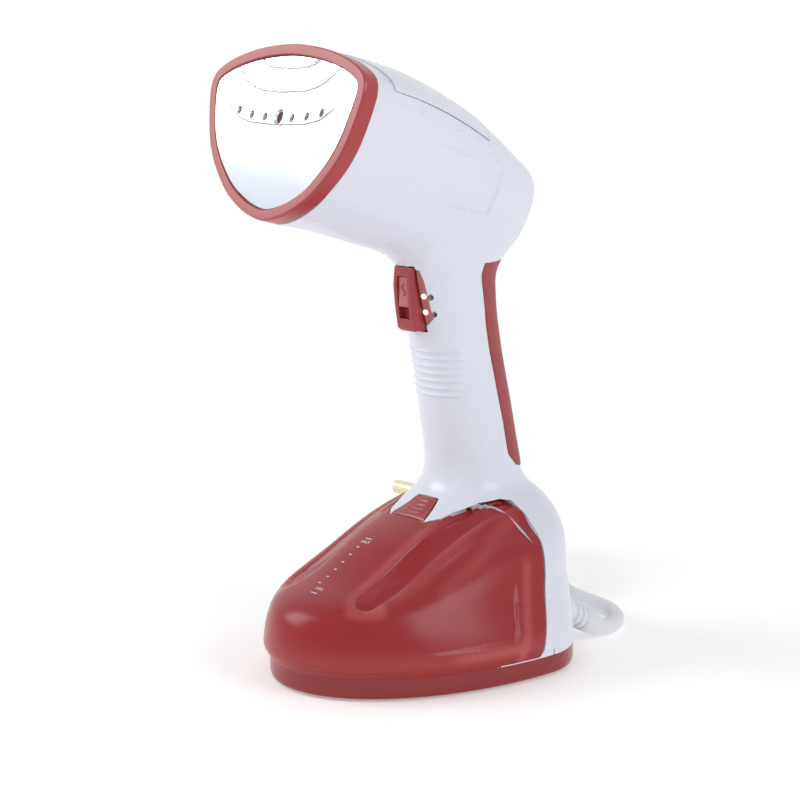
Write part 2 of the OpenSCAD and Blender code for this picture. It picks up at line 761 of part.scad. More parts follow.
module pump_barrel() {
    color("ivory") translate(pump_at) difference() {
        union() {
            bar_x(pump_d, -pump_l / 2 + nipple_l, pump_l / 2 - nipple_l);
            bar_x(barb_d, -pump_l / 2, pump_l / 2);
        }
        bar_x(pump_bore, -pump_bore_l / 2, pump_bore_l / 2);
        bar_x(1.8, -pump_l / 2 - 1, pump_l / 2 + 1);
    }
}

module pump_coil() {
    color("darkred") translate(pump_at) difference() {
        union() {
            box([-coil_l / 2, -coil_s / 2, -coil_s / 2], [coil_l / 2, coil_s / 2, coil_s / 2]);
            for (s = [-1, 1]) translate([s * (coil_l / 2 - 1), 0, 0])
                box([-1, -2, foot_h + tray_t - pump_at[2]], [1, 5, -coil_s / 2]);
        }
        bar_x(pump_d + 2 * seat_gap, -coil_l, coil_l);
    }
}

module pump_plunger() {
    color("gray") translate(pump_at) difference() {
        bar_x(pump_bore - 2 * run_gap, -plunger_l / 2, plunger_l / 2);
        bar_x(plunger_bore, -plunger_l, plunger_l);
    }
}

module suction_hose() {
    color("lightgray") difference() {
        hose(SUCTION, hose_d, 2.4, 0.25);
        translate(pump_at) bar_x(barb_d, -pump_l / 2, 0);
        translate([0, 0, valve_z]) bar_y(barb_d, coupling_y1, barb_y);
    }
}

module delivery_hose() {
    color("lightgray") difference() {
        hose(DELIVERY, hose_d - 1, 2, 0.34);
        translate(pump_at) bar_x(barb_d, 0, pump_l / 2);
        at_face() translate([0, 0, nozzle_v]) bar_y(barb_d, casting_y1, casting_y1 + 9);
    }
}

module tank_coupling() {
    color("lightgray") translate([0, 0, valve_z]) difference() {
        union() {
            bar_y(valve_d + 4, coupling_y0, coupling_y1);
            bar_y(barb_d, coupling_y1, barb_y);
            box([-8, coupling_seat_y, -valve_z + foot_h + tray_t], [8, coupling_y1, 0]);
        }
        bar_y(valve_d + 0.8, coupling_y0 - 1, coupling_seat_y);
        bar_y(1.8, coupling_y0, barb_y + 1);
    }
}

module coupling_seal() {
    color("black") translate([0, 0, valve_z]) difference() {
        bar_y(valve_d + 0.7, coupling_y0 + 0.3, coupling_seat_y);
        bar_y(4, coupling_y0, coupling_y1);
    }
}

module water_tank() {
    color([0.62, 0.16, 0.17, 0.75]) difference() {
        union() {
            difference() {
                intersection() {
                    envelope(0, 6);
                    tank_space(0);
                }
                intersection() {
                    envelope(0, 6, tank_wall);
                    difference() {
                        across(grown(TANK_LINE, -tank_wall));
                        translate([0, 0, channel_z - tank_wall]) linear_extrude(height = BIG)
                            polygon(grown(CHANNEL, tank_wall));
                        box([-11.5 - tank_wall, well_y - tank_wall, well_z - tank_wall],
                            [11.5 + tank_wall, 60, 90]);
                    }
                }
                box([-11.5, well_y, well_z], [11.5, 60, 90]);
            }
            translate([0, 0, valve_z]) bar_y(valve_d + 3, valve_y0, 18.5);
        }
        translate([0, filler_y, 0]) bar_z(filler_d, well_z - 3, well_z + 1);
        translate([0, 0, valve_z]) {
            bar_y(valve_d, valve_y0 - 6, 30);
            bar_y(valve_d + 5.2, coupling_y0 - 0.45, 30);
        }
        tank_chamfer();
    }
}

// What the tank's rear top leaves free, so that it can slide out under the grip's root
module tank_chamfer() {
    translate([0, 60, 0]) rotate([90, 0, 0]) linear_extrude(height = 60 - well_y)
        polygon([[-11.5, 44.4], [11.5, 44.4], [16, 48.6], [-16, 48.6]]);
}

module valve_body() {
    color("lightgray") translate([0, 0, valve_z]) difference() {
        bar_y(valve_d, valve_y0, valve_y1);
        bar_y(valve_bore, valve_y0 - 1, valve_seat_y);
        bar_y(poppet_stem_d + 0.6, valve_y0, valve_y1 + 1);
    }
}

module valve_poppet() {
    color("gray") translate([0, 0, valve_z]) {
        bar_y(poppet_stem_d, valve_seat_y - poppet_gap - poppet_t, valve_y1 - 0.2);
        bar_y(poppet_d, valve_seat_y - poppet_gap - poppet_t, valve_seat_y - poppet_gap);
    }
}

module valve_spring() {
    color("silver") translate([0, 0, valve_z]) difference() {
        bar_y(4, valve_y0 + 0.6, valve_seat_y - 2 * poppet_gap - poppet_t);
        bar_y(3, valve_y0 - 1, valve_y1);
    }
}

module filler_stopper() {
    color("dimgray") translate([0, filler_y, well_z]) {
        bar_z(filler_d - 0.7, -2.6, 0.3);
        bar_z(filler_d + 3, 0.3, 0.3 + stopper_t);
    }
}

// ---- electrics ----------------------------------------------------------------------------

module control_board() {
    color("seagreen") box([-12, 30.5, board_z], [12, 45, board_z + board_t]);
}

module board_parts() {
    color("dimgray") translate([0, 0, board_z + board_t]) {
        box([-9, 32, 0], [-3, 42, 4.6]);
        box([2, 33, 0], [8, 38, 3.6]);
        translate([6, 42, 0]) bar_z(4, 0, 5.1);
    }
}

module switch_carrier() {
    color("whitesmoke") {
        box([1.9 - grip_w / 2, switch_y1, switch_z0 - 1],
            [grip_w / 2 - 1.9, switch_y1 + 1.6, switch_z1 + 1.2]);
        box([-3.6, switch_y1 - 3.3, switch_z0 - 1.8], [3.6, switch_y1, switch_z0 - 0.2]);
    }
}

module microswitch() {
    color("black") difference() {
        box([-2.9, switch_y0, switch_z0], [2.9, switch_y1, switch_z1]);
        translate([0, 0, plunger_z])
            bar_y(plunger_d + 2 * run_gap, switch_y0 - 1, switch_y0 + 1.8 + plunger_stroke + 0.4);
    }
}

module switch_plunger() {
    color("red") translate([0, 0, plunger_z]) bar_y(plunger_d, trig_back + 0.35, switch_y0 + 1.8);
}

module indicator_lens() {
    color([0.95, 0.6, 0.62]) intersection() {
        envelope_skin(8, 11, 0, 1.2);
        difference() {
            across(grown(LENS_LINE, -seat_gap), lens_half - seat_gap);
            box([-trigger_w / 2 - key_gap - 0.2, -30, 90], [trigger_w / 2 + key_gap + 0.2, 30, 130]);
        }
    }
}

module indicator_lights() {
    color("white") for (p = LIGHTS) translate(p) bar_y(light_d, 0, 2);
}

// ---- trigger and button -------------------------------------------------------------------

module trigger() {
    color("brown") difference() {
        across([[-0.3, trig_z1], [-0.8, 111.5], [-0.2, 106], [1, trig_z0 + 1], [2, trig_z0],
            [trig_back, trig_z0], [trig_back, 104.5], [trig_spring_back, 106],
            [trig_spring_back, trig_z1]], trigger_w / 2);
        translate([0, hinge_y, hinge_z]) bar_x(trigger_pin_d + 2 * run_gap, -10, 10);
        box([-slider_w / 2 - 0.15, -9, slider_z0 - slider_travel - 0.3],
            [slider_w / 2 + 0.15, slider_back + 0.2, slider_z1 + 0.15]);
    }
}

module trigger_pin() {
    color("silver") translate([0, hinge_y, hinge_z]) bar_x(trigger_pin_d, -6.3, 6.3);
}

module trigger_spring() {
    color("silver") translate([0, 0, trig_spring_z]) difference() {
        bar_y(trig_spring_d, trig_spring_back + 0.3, switch_y0 - 0.3);
        bar_y(trig_spring_d - 0.8, 0, 20);
    }
}

module lock_slider() {
    color("rosybrown") {
        box([-slider_w / 2, -0.1, slider_z0], [slider_w / 2, slider_back, slider_z1]);
    }
}

module release_button() {
    color("firebrick") {
        intersection() {
            envelope(3, 7, -key_proud);
            key_frame() key_block(0, -key_t, 6);
        }
        key_frame() bar_z(key_stem_d, -key_t - key_stem_l, -key_t);
    }
}

module button_spring() {
    color("silver") intersection() {
        key_frame() difference() {
            bar_z(key_spring_d, -8, -key_t);
            bar_z(key_spring_d - 1.2, -20, 0);
        }
        box([-20, -20, channel_z + tank_gap + tank_wall], [20, 40, 60]);
    }
}

// ---- wiring and mains lead ----------------------------------------------------------------

module wiring() {
    color("royalblue") tube(CONTROL_WIRES, wire_d, 0.5, 6);
    color("saddlebrown") tube(MAINS_WIRES, wire_d + 0.2, 0.34, 6);
}

module lead_clamp() {
    color("whitesmoke") translate([gland_at[0], 0, 0]) difference() {
        union() {
            box([-clamp_half, clamp_y[0], foot_h + tray_t], [clamp_half, clamp_y[1], clamp_z - 0.1]);
            box([-clamp_half, clamp_y[0], clamp_z + 0.1], [clamp_half, clamp_y[1], clamp_top]);
        }
        translate([0, 0, clamp_z]) bar_y(cord_d, 0, 60);
        for (s = [-1, 1]) translate([s * clamp_screw_x, (clamp_y[0] + clamp_y[1]) / 2, 0])
            bar_z(clamp_screw_d, foot_h + tray_t + 0.8, 30);
    }
}

module clamp_screws() {
    color("silver") for (s = [-1, 1])
        translate([gland_at[0] + s * clamp_screw_x, (clamp_y[0] + clamp_y[1]) / 2, clamp_top])
            mirror([0, 0, 1]) screw(clamp_screw_d, 8, 2.8);
}

module strain_relief() {
    color("white") translate(gland_at) rotate([gland_tilt, 0, 0]) difference() {
        union() {
            bar_y(relief_d, -3.4, 3);
            translate([0, 3, 0]) rotate([-90, 0, 0])
                cylinder(d1 = relief_d, d2 = relief_d - 1, h = gland_l - 3, $fn = CYL);
        }
        bar_y(cord_d, -10, gland_l + 1);
        for (y = [5, 7.5, 10]) difference() {
            bar_y(relief_d + 3, y, y + 0.9);
            bar_y(relief_d - 1.4, y - 1, y + 2);
        }
    }
}

module power_cord() {
    color("white") tube(LEAD, cord_d, 0.34, 10);
}

module cord_coil() {
    color("white") translate(coil_at + [0, 0, coil_half]) rotate_extrude($fn = 96)
        translate([coil_r, 0]) difference() {
            square(2 * coil_half, center = true);
            for (a = [0:3]) rotate(a * 90) translate([coil_half, coil_half]) difference() {
                square(4, center = true);
                translate([-2, -2]) circle(r = 2, $fn = 32);
            }
        }
}

module cord_tail() {
    color("white") tube(TAIL, cord_d, 0.5, 10);
}

module cord_tie() {
    color("dimgray") translate(coil_at + [0, 0, coil_half]) rotate([0, 0, -100])
        rotate_extrude(angle = 20, $fn = 96) translate([coil_r, 0]) difference() {
            square(2 * (coil_half + tie_t), center = true);
            square(2 * coil_half, center = true);
        }
}

module plug_body() {
    color("white") translate(plug_at) rotate([0, 0, 180]) translate([0, 0, -7.5])
        linear_extrude(height = 15)
            polygon([[0, -5], [7, -6.5], [12, -12], [17, -plug_w / 2], [plug_l - 2, -plug_w / 2],
                [plug_l, -13], [plug_l, 13], [plug_l - 2, plug_w / 2], [17, plug_w / 2], [12, 12],
                [7, 6.5], [0, 5]]);
}

module plug_pins() {
    color("silver") translate(plug_at - [plug_l, 0, 0]) for (s = [-1, 1])
        translate([0, s * pin_gap / 2, 0]) bar_x(pin_d, -pin_l, 0);
}

base_cover();
rubber_feet();
cover_screws();
base_tray();
front_housing();
rear_cover();
head_top_cover();
grip_inlay();
housing_screws();
bezel();
faceplate();
chamber_gasket();
chamber_lid();
steam_chamber();
heating_element();
heat_shield();
thermostat();
thermal_fuse();
inlet_nozzle();
pump_barrel();
pump_coil();
pump_plunger();
suction_hose();
delivery_hose();
tank_coupling();
coupling_seal();
control_board();
board_parts();
switch_carrier();
microswitch();
switch_plunger();
indicator_lens();
indicator_lights();
trigger();
trigger_pin();
trigger_spring();
lock_slider();
release_button();
button_spring();
water_tank();
valve_body();
valve_poppet();
valve_spring();
filler_stopper();
wiring();
lead_clamp();
clamp_screws();
strain_relief();
power_cord();
cord_coil();
cord_tail();
cord_tie();
plug_body();
plug_pins();
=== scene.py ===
import math

import bmesh
import bpy
import numpy as np
from mathutils import Matrix, Vector
from mathutils.kdtree import KDTree


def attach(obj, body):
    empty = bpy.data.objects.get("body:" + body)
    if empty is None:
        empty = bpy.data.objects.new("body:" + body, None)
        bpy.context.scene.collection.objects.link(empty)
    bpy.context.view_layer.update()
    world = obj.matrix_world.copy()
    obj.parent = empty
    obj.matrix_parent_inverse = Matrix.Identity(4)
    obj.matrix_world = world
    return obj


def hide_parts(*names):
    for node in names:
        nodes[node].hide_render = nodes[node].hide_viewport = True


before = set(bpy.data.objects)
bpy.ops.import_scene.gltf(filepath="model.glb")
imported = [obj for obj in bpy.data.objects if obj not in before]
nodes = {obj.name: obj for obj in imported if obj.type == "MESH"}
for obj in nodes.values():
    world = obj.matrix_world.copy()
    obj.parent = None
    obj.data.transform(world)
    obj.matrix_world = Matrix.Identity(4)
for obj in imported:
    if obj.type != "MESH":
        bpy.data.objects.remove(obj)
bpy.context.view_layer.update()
MM = 0.001

# ---- camera --------------------------------------------------------------------------------
# The steamer is seen from its front left corner, ten degrees above its middle, with a lens
# long enough to keep its upright lines upright.
AZIMUTH, ELEVATION = math.radians(47), math.radians(10.17)
back = Vector((math.sin(AZIMUTH) * math.cos(ELEVATION), -math.cos(AZIMUTH) * math.cos(ELEVATION),
               math.sin(ELEVATION)))
camera = bpy.data.objects.new("camera", bpy.data.cameras.new("camera"))
bpy.context.collection.objects.link(camera)
camera.data.lens, camera.data.sensor_width = 89.55, 36
camera.data.clip_start, camera.data.clip_end = 0.01, 20
camera.location = Vector((23.2, -23.0, 84.2)) * MM + back * 0.541
camera.rotation_euler = back.to_track_quat("Z", "Y").to_euler()
bpy.context.scene.camera = camera


# ---- materials and helpers -----------------------------------------------------------------
# Shader maths is written as sums and products of sockets. Places are in mm until a mesh is made.
class Wire:
    """An output socket of a node, on which sums and products add Math nodes."""

    def __init__(self, finish, socket):
        self.finish, self.socket = finish, socket

    def _maths(self, operation, first, second):
        return self.finish.node("ShaderNodeMath", {"operation": operation}, {0: first, 1: second})

    def __add__(self, other):
        return self._maths("ADD", self, other)

    __radd__ = __add__

    def __mul__(self, other):
        return self._maths("MULTIPLY", self, other)

    __rmul__ = __mul__

    def __sub__(self, other):
        return self._maths("SUBTRACT", self, other)

    def __rsub__(self, other):
        return self._maths("SUBTRACT", other, self)


class Finish:
    """A material with a Principled shader, and one method that adds any other node."""

    def __init__(self, name):
        self.material = bpy.data.materials.new(name)
        self.material.use_nodes = True
        self.shader = self.material.node_tree.nodes["Principled BSDF"]

    def node(self, kind, settings=None, sockets=None, out=0):
        made = self.material.node_tree.nodes.new(kind)
        for key, value in (settings or {}).items():
            setattr(made, key, value)
        self.feed(made, sockets or {})
        return Wire(self, made.outputs[out])

    def feed(self, node, sockets):
        for key, value in sockets.items():
            if isinstance(value, Wire):
                self.material.node_tree.links.new(value.socket, node.inputs[key])
            else:
                node.inputs[key].default_value = value

    def noise(self, scale, detail=2.0):
        """Noise from 0 to 1 on Object coordinates, with scale waves a metre."""
        place = self.node("ShaderNodeTexCoord", out=3)
        return self.node("ShaderNodeTexNoise", None,
                         {"Vector": place, "Scale": scale, "Detail": detail})

    def blend(self, share, first, second):
        """Colour between two colours."""
        return self.node("ShaderNodeMix", {"data_type": "RGBA"}, {0: share, 6: first, 7: second},
                         out=2)


def moulded(name, colour, rough=0.3, shade=0.93, grain=900, dent=0.00002, metal=0.0, smear=60):
    """Moulded or drawn surface: its colour drifts a little, and its gloss and skin are uneven."""
    made = Finish(name)
    drift = made.noise(smear, 3.0)
    dull = tuple(c * shade for c in colour)
    made.feed(made.shader, {
        "Base Color": made.blend(drift, (*colour, 1), (*dull, 1)),
        "Roughness": rough * 0.85 + rough * 0.3 * made.noise(smear * 5),
        "Metallic": metal,
        "Normal": made.node("ShaderNodeBump", None, {
            "Strength": 0.4, "Distance": dent, "Height": made.noise(grain)}),
    })
    return made.material


def paint(name, material):
    """Gives a CAD node a material in place of its plain one."""
    for place in nodes[name].material_slots:
        place.material = material


def eased(x):
    """0 below 0, 1 above 1, and a smooth rise between them."""
    x = min(max(x, 0.0), 1.0)
    return x * x * (3 - 2 * x)


def rise(x):
    """The same for an array."""
    x = np.clip(x, 0, 1)
    return x * x * (3 - 2 * x)


def meshed(bm, name):
    """A mesh of a bmesh, which is freed."""
    mesh = bpy.data.meshes.new(name)
    bm.to_mesh(mesh)
    bm.free()
    return mesh


def linked(name, data, material=None):
    """An object in the scene, with its material."""
    made = bpy.data.objects.new(name, data)
    bpy.context.collection.objects.link(made)
    if material:
        data.materials.append(material)
    return made


def stands(made, body, replaces=()):
    """Says which body an object rides on, which CAD nodes it stands for."""
    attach(made, body)
    if replaces:
        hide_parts(*replaces)
    return made


def put(bm, name, body, material, replaces=(), smooth=40):
    """An object of a bmesh, smoothed below an angle."""
    bmesh.ops.recalc_face_normals(bm, faces=bm.faces)
    made = linked(name, meshed(bm, name), material)
    made.data.shade_smooth()
    if smooth:
        made.data.set_sharp_from_angle(angle=math.radians(smooth))
    return stands(made, body, replaces)


def of_node(node):
    """A bmesh of a CAD node with its doubled vertices joined."""
    bm = bmesh.new()
    bm.from_mesh(nodes[node].data)
    bmesh.ops.remove_doubles(bm, verts=bm.verts, dist=2e-6)
    return bm


def halve(bm, edges):
    """Splits edges in the middle and makes triangles of what they leave."""
    bmesh.ops.subdivide_edges(bm, edges=edges, cuts=1)
    bmesh.ops.triangulate(bm, faces=[f for f in bm.faces if len(f.verts) > 3])


def written(mesh, name, values):
    """Puts a value at each vertex under a name that a material reads."""
    mesh.attributes.new(name, "FLOAT", "POINT").data.foreach_set("value", values.astype(np.float32))


def smooth_loop(points, parts=12):
    """Points along a closed smooth curve through corners, for arrays of two columns."""
    a, b, c, d = (np.roll(points, k, 0)[:, None] for k in (1, 0, -1, -2))
    share = np.linspace(0, 1, parts, endpoint=False)[None, :, None]
    return curved(a, b, c, d, share).reshape(-1, 2)


def curved(a, b, c, d, f):
    """The smooth curve through a, b, c and d, at share f of the way from b to c."""
    return 0.5 * (2 * b + (c - a) * f + (2 * a - 5 * b + 4 * c - d) * f ** 2
                  + (3 * b - a - 3 * c + d) * f ** 3)


# ---- mains lead ----------------------------------------------------------------------------
# A round lead in a white sheath leaves the rear flank through a ribbed sleeve, bends round
# behind the base, lies wound in three layers and ends in a flat moulded plug with two pins.
sheath = moulded("white sheath", (0.80, 0.82, 0.86), rough=0.38, grain=1500, dent=0.00003)
CORD = 5.2
RELIEF_AT, RELIEF_TILT = Vector((24, 43, 12.4)), math.radians(-28)
relief_way = Vector((0, math.cos(RELIEF_TILT), math.sin(RELIEF_TILT)))
COIL_AT, COIL_R, COIL_TURNS, PER_TURN, FIRST_ANGLE = Vector((-54.4, 72.6, 0)), 28.0, 7, 24, 40
PITCH = CORD * 1.01
PLUG_AT = Vector((-46, 95.4, 24.1))
LAST_R = 22
route = [RELIEF_AT - relief_way * 2, RELIEF_AT + relief_way * 4, RELIEF_AT + relief_way * 11,
         RELIEF_AT + relief_way * 17.4]
route += [Vector(p) for p in (
    (24, 63, 3.0), (22.6, 67.8, 2.7), (20, 72.2, 2.7), (16, 76, 2.7), (11, 78.7, 2.7),
    (5, 80.2, 2.7), (-1, 81.2, 2.7), (-8, 82.9, 2.7), (-15, 85.8, 3), (-22, 89.7, 3.3))]
# The turns: outer to inner on the floor, inner to outer above them, and outer to inner on top.
# Each steps sideways in its third quarter, and climbs a layer in its last.
COLUMNS = [0, 1, 2, 2, 1, 0, 0, 1]
for step in range(COIL_TURNS * PER_TURN):
    turn = step / PER_TURN
    whole, part = int(turn), turn - int(turn)
    column = COLUMNS[whole] + (COLUMNS[whole + 1] - COLUMNS[whole]) * eased((part - 0.5) / 0.25)
    layer = whole // 3 + (eased((part - 0.75) / 0.25) if whole in (2, 5) else 0)
    angle = math.radians(FIRST_ANGLE + 360 * turn)
    radius = COIL_R + PITCH * (1 - column)
    route.append(COIL_AT + Vector((radius * math.cos(angle), radius * math.sin(angle),
                                   0.8 + CORD / 2 + PITCH * layer)))
# The last turn draws in and passes over the others in a long low hump to the plug, which lies
# on them.
TOP_LAYER = 13.9
for degrees in range(FIRST_ANGLE, 441, 12):
    share = eased((degrees - FIRST_ANGLE) / 400)
    middle = COIL_AT.lerp(Vector((PLUG_AT.x, PLUG_AT.y - LAST_R, 0)), share)
    radius = COIL_R + (LAST_R - COIL_R) * share
    angle = math.radians(degrees)
    up = TOP_LAYER + (PLUG_AT.z - TOP_LAYER) * eased((degrees - 190) / 190)
    route.append(middle + Vector((radius * math.cos(angle), radius * math.sin(angle), up)))
route += [PLUG_AT, PLUG_AT - Vector((2, 0, 0))]

curve = bpy.data.curves.new("mains_lead", "CURVE")
curve.dimensions, curve.bevel_depth, curve.bevel_resolution = "3D", CORD / 2 * MM, 4
curve.resolution_u, curve.use_fill_caps = 3, True
spline = curve.splines.new("BEZIER")
spline.bezier_points.add(len(route) - 1)
for point, place in zip(spline.bezier_points, route):
    point.co = place * MM
    point.handle_left_type = point.handle_right_type = "AUTO"
lead = linked("mains_lead", curve, sheath)
stands(lead, "base", ["power_cord", "cord_coil", "cord_tail"])
lead_length = sum((b - a).length for a, b in zip(route, route[1:])) * MM


# Strain relief: a soft sleeve that narrows along the lead, with three grooves round it.
def turned(bm, profile, start, way, steps=48):
    """Spins a profile of (place along, radius) points about the line from start along way."""
    side = way.orthogonal().normalized()
    made = [bm.verts.new((start + way * along + side * radius) * MM) for along, radius in profile]
    edges = [bm.edges.new(pair) for pair in zip(made, made[1:])]
    bmesh.ops.spin(bm, geom=made + edges, cent=start * MM, axis=way, angle=2 * math.pi, steps=steps,
                   use_merge=True)
    bmesh.ops.remove_doubles(bm, verts=bm.verts, dist=1e-6)


bm = bmesh.new()
profile = [(-3.4, 2.65), (-3.4, 3.8), (1.2, 3.8)]
for groove in (2.4, 5.2, 8.0):
    profile += [(groove, 3.8 - groove * 0.02), (groove + 0.25, 3.45), (groove + 0.45, 3.05),
                (groove + 1.05, 3.05), (groove + 1.25, 3.45),
                (groove + 1.5, 3.75 - groove * 0.02)]
profile += [(12, 3.5), (15, 3.3), (17.2, 3.15), (17.8, 3.0), (18, 2.75), (18, 2.65),
            (-3.4, 2.65)]
turned(bm, profile, RELIEF_AT, relief_way)
relief_finish = moulded("soft white sleeve", (0.78, 0.80, 0.85), rough=0.42, grain=1300,
                        dent=0.00004)
relief = put(bm, "relief_sleeve", "base", relief_finish, ["strain_relief"], smooth=35)


def pulled(bm, geometry, way):
    """Moves the vertices of what was extruded."""
    made = [v for v in geometry["geom"] if isinstance(v, bmesh.types.BMVert)]
    bmesh.ops.translate(bm, verts=made, vec=Vector(way) * MM)


def rounded(bm, edges, offset, segments):
    bmesh.ops.bevel(bm, geom=edges, offset=offset * MM, segments=segments, profile=0.5,
                    affect="EDGES", material=-1, clamp_overlap=True)


def climb(edge):
    return abs(edge.verts[0].co.z - edge.verts[1].co.z)



# Plug: a flat body with a waisted grip and soft edges round two plated pins.
PLUG_T = 14.8
bm = bmesh.new()
half_rim = [(0, 5), (7, 6.5), (12, 12), (17, 15), (28, 15), (30, 13)]
rim = [(x, -y) for x, y in half_rim] + half_rim[::-1]
face = bm.faces.new([bm.verts.new((PLUG_AT + Vector((-x, y, -PLUG_T / 2))) * MM) for x, y in rim])
pulled(bm, bmesh.ops.extrude_face_region(bm, geom=[face]), (0, 0, PLUG_T))
rounded(bm, [e for e in bm.edges if climb(e) > PLUG_T / 2 * MM], 2, 4)
rounded(bm, [e for e in bm.edges if climb(e) < 1e-5], 1.6, 4)
plug = put(bm, "plug_shell", "base", moulded("white plug", (0.80, 0.82, 0.86), rough=0.32),
           ["plug_body"], smooth=50)

# The tie is a woven strap, one turn tight round all the windings where they lie nearest the base.
STRAP_HALF, STRAP_W, STRAP_T = 8.3, 6, 0.7
bm = bmesh.new()
loop = []
for step in range(48):
    turn = 2 * math.pi * step / 48
    out, up = (math.copysign(abs(way) ** 0.45, way) * STRAP_HALF
               for way in (math.cos(turn), math.sin(turn)))
    loop.append(bm.verts.new((COIL_AT + Vector((-STRAP_W / 2, -COIL_R - out, 8.75 + up))) * MM))
edges = [bm.edges.new((a, b)) for a, b in zip(loop, loop[1:] + loop[:1])]
pulled(bm, bmesh.ops.extrude_edge_only(bm, edges=edges), (STRAP_W, 0, 0))
bmesh.ops.recalc_face_normals(bm, faces=bm.faces)
bmesh.ops.solidify(bm, geom=bm.faces, thickness=STRAP_T * MM)
strap_finish = moulded("black strap", (0.03, 0.03, 0.03), rough=0.6, grain=2500, dent=0.00006)
tie = put(bm, "strap_tie", "base", strap_finish, ["cord_tie"], smooth=30)
route[0] * MM

# ---- water tank ----------------------------------------------------------------------------
# A glossy dark red tank, blow-smooth outside, with a long scoop and a soft valley on each side of
# its ridge and a shallow panel low on each flank. It slides out forward from under the grip.
STATIONS = np.array([
    (-43, 6.5, 50, 6.5, 40, .70, 0, 2, 0), (-45.5, 11.5, 50, 14, 40, .70, 0, 2, 0),
    (-42, 23.5, 51.5, 25.5, 35, .69, 0, 2.05, 0), (-25.5, 30.5, 51.5, 38.5, 31, .67, 0, 2.1, 0),
    (-10.5, 39, 49.5, 46, 24, .63, 0, 2.1, 0), (7, 46.5, 43.5, 52.5, 16, .56, 0, 2.1, 0),
    (13.5, 54.5, 42, 60, 13.5, .51, 0, 2.1, 0), (11, 72, 39, 75, 12, .50, 0, 2.2, 0),
    (7.5, 90, 35, 92, 11.5, .50, 0, 2.2, 0), (4, 103, 32, 107, 12.5, .50, 0, 2.2, 0),
    (1.5, 112, 33, 116.5, 13, .50, 0, 2.2, 0), (0, 116.5, 42, 127, 15, .50, 3, 2.2, 0),
    (-4, 119.5, 44.5, 140, 17.5, .52, 6, 2.2, 0), (-9.5, 122, 34, 149, 20.5, .55, 9, 2.15, 0),
    (-19.5, 124.5, 14.5, 161.5, 23.5, .58, 13, 2.1, .5),
    (-33.5, 128, -11.5, 172.5, 27.5, .61, 17, 2.1, 1.2),
    (-46.178, 130.548, -34.324, 178.093, 31.5, .64, 18, 2.1, 1.8),
    (-52, 132, -40.146, 179.544, 32.5, .65, 18, 2.1, 2)])
PLACES = np.vstack([2 * STATIONS[0] - STATIONS[1], STATIONS, 2 * STATIONS[-1] - STATIONS[-2]])
FAN = np.radians(np.arange(40) * 9 - 90)[:, None]


def ray(sizes, angle):
    """Unscaled point at each angle round the egg-shaped outline that sizes give."""
    high = np.hypot(sizes[2] - sizes[0], sizes[3] - sizes[1])
    belly, slant, power = sizes[5], np.tan(np.radians(sizes[6])), sizes[7]
    c, n = np.cos(angle), np.sin(angle)
    k = (np.maximum(0, n / ((1 - belly) * high)) ** power
         + np.maximum(0, -n / (belly * high)) ** power
         + (np.maximum(0, c - n * slant) / sizes[4]) ** power
         + (np.maximum(0, -c - n * slant) / sizes[4]) ** power)
    return k ** (-1 / power) * c, k ** (-1 / power) * n


def sizes_at(place):
    i = np.clip(np.floor(place).astype(int), 0, 16)
    f = (place - i)[:, None]
    return curved(*(PLACES[i + k] for k in range(4)), f).T


LEVELS = np.linspace(0, 17, 1701)
fan_x, fan_y = ray(sizes_at(LEVELS), FAN)
WIDEST, LOWEST, TALL = fan_x.max(0), fan_y.min(0), fan_y.max(0) - fan_y.min(0)

# The face is a rounded triangle: half of its outline from its tip to its top, (x, v) in mm.
TRIANGLE = [(0, 1.2), (5.6, 2.15), (10.8, 4.15), (17.1, 8), (22.6, 13.4), (26.2, 18.2),
            (28.75, 23.3), (30.6, 29.4), (31.65, 34.4), (31.85, 37.2), (31.1, 40.1), (29, 42.3),
            (24.6, 44.6), (20.2, 46.1), (14.2, 47.6), (7.1, 48.6), (0, 49)]
FACE_MIDDLE, FACE_HALF, FACE_TALL = 31.9, 32.5, 49
triangle = smooth_loop(np.array(TRIANGLE + [(-x, v) for x, v in TRIANGLE[-2:0:-1]], float))
TRIANGLE_ANGLE = np.unwrap(np.arctan2(triangle[:, 1] - FACE_MIDDLE, triangle[:, 0]))
TRIANGLE_REACH = np.hypot(triangle[:, 0], triangle[:, 1] - FACE_MIDDLE)


def face_outline(angle):
    """Points (x, v) of the outline of the face, at angles round its middle."""
    reach = np.interp(angle, TRIANGLE_ANGLE, TRIANGLE_REACH, period=2 * math.pi)
    return reach * np.cos(angle), FACE_MIDDLE + reach * np.sin(angle)


def skin_point(place, angle, dressed=False):
    """Point of the moulded outside at a place along the stations and an angle round it, in mm.

    The dressed outside passes from its egg-shaped outlines to the rounded triangle of the face.
    """
    sizes = sizes_at(place)
    high = np.hypot(sizes[2] - sizes[0], sizes[3] - sizes[1])
    x, up = ray(sizes, angle)
    x = x * sizes[4] / np.interp(place, LEVELS, WIDEST)
    up = (up - np.interp(place, LEVELS, LOWEST)) * high / np.interp(place, LEVELS, TALL)
    if dressed:
        face_x, face_v = face_outline(angle)
        share = rise((place - 12.5) / 3.5)
        x = x + share * (face_x * sizes[4] / FACE_HALF - x)
        up = up + share * (face_v * high / FACE_TALL - up)
    way_y, way_z = (sizes[2] - sizes[0]) / high, (sizes[3] - sizes[1]) / high
    bow = sizes[8] * 4 * up / high * (1 - up / high)
    return np.stack([x, sizes[0] + way_y * up - way_z * bow,
                     sizes[1] + way_z * up + way_y * bow], 1)


grid_place, grid_angle = (g.ravel() for g in np.meshgrid(np.linspace(0, 17, 205),
                                                         np.radians(np.arange(0, 360, 1.5) - 90)))
tree = KDTree(len(grid_place))
for i, point in enumerate(skin_point(grid_place, grid_angle)):
    tree.insert(point, i)
tree.balance()


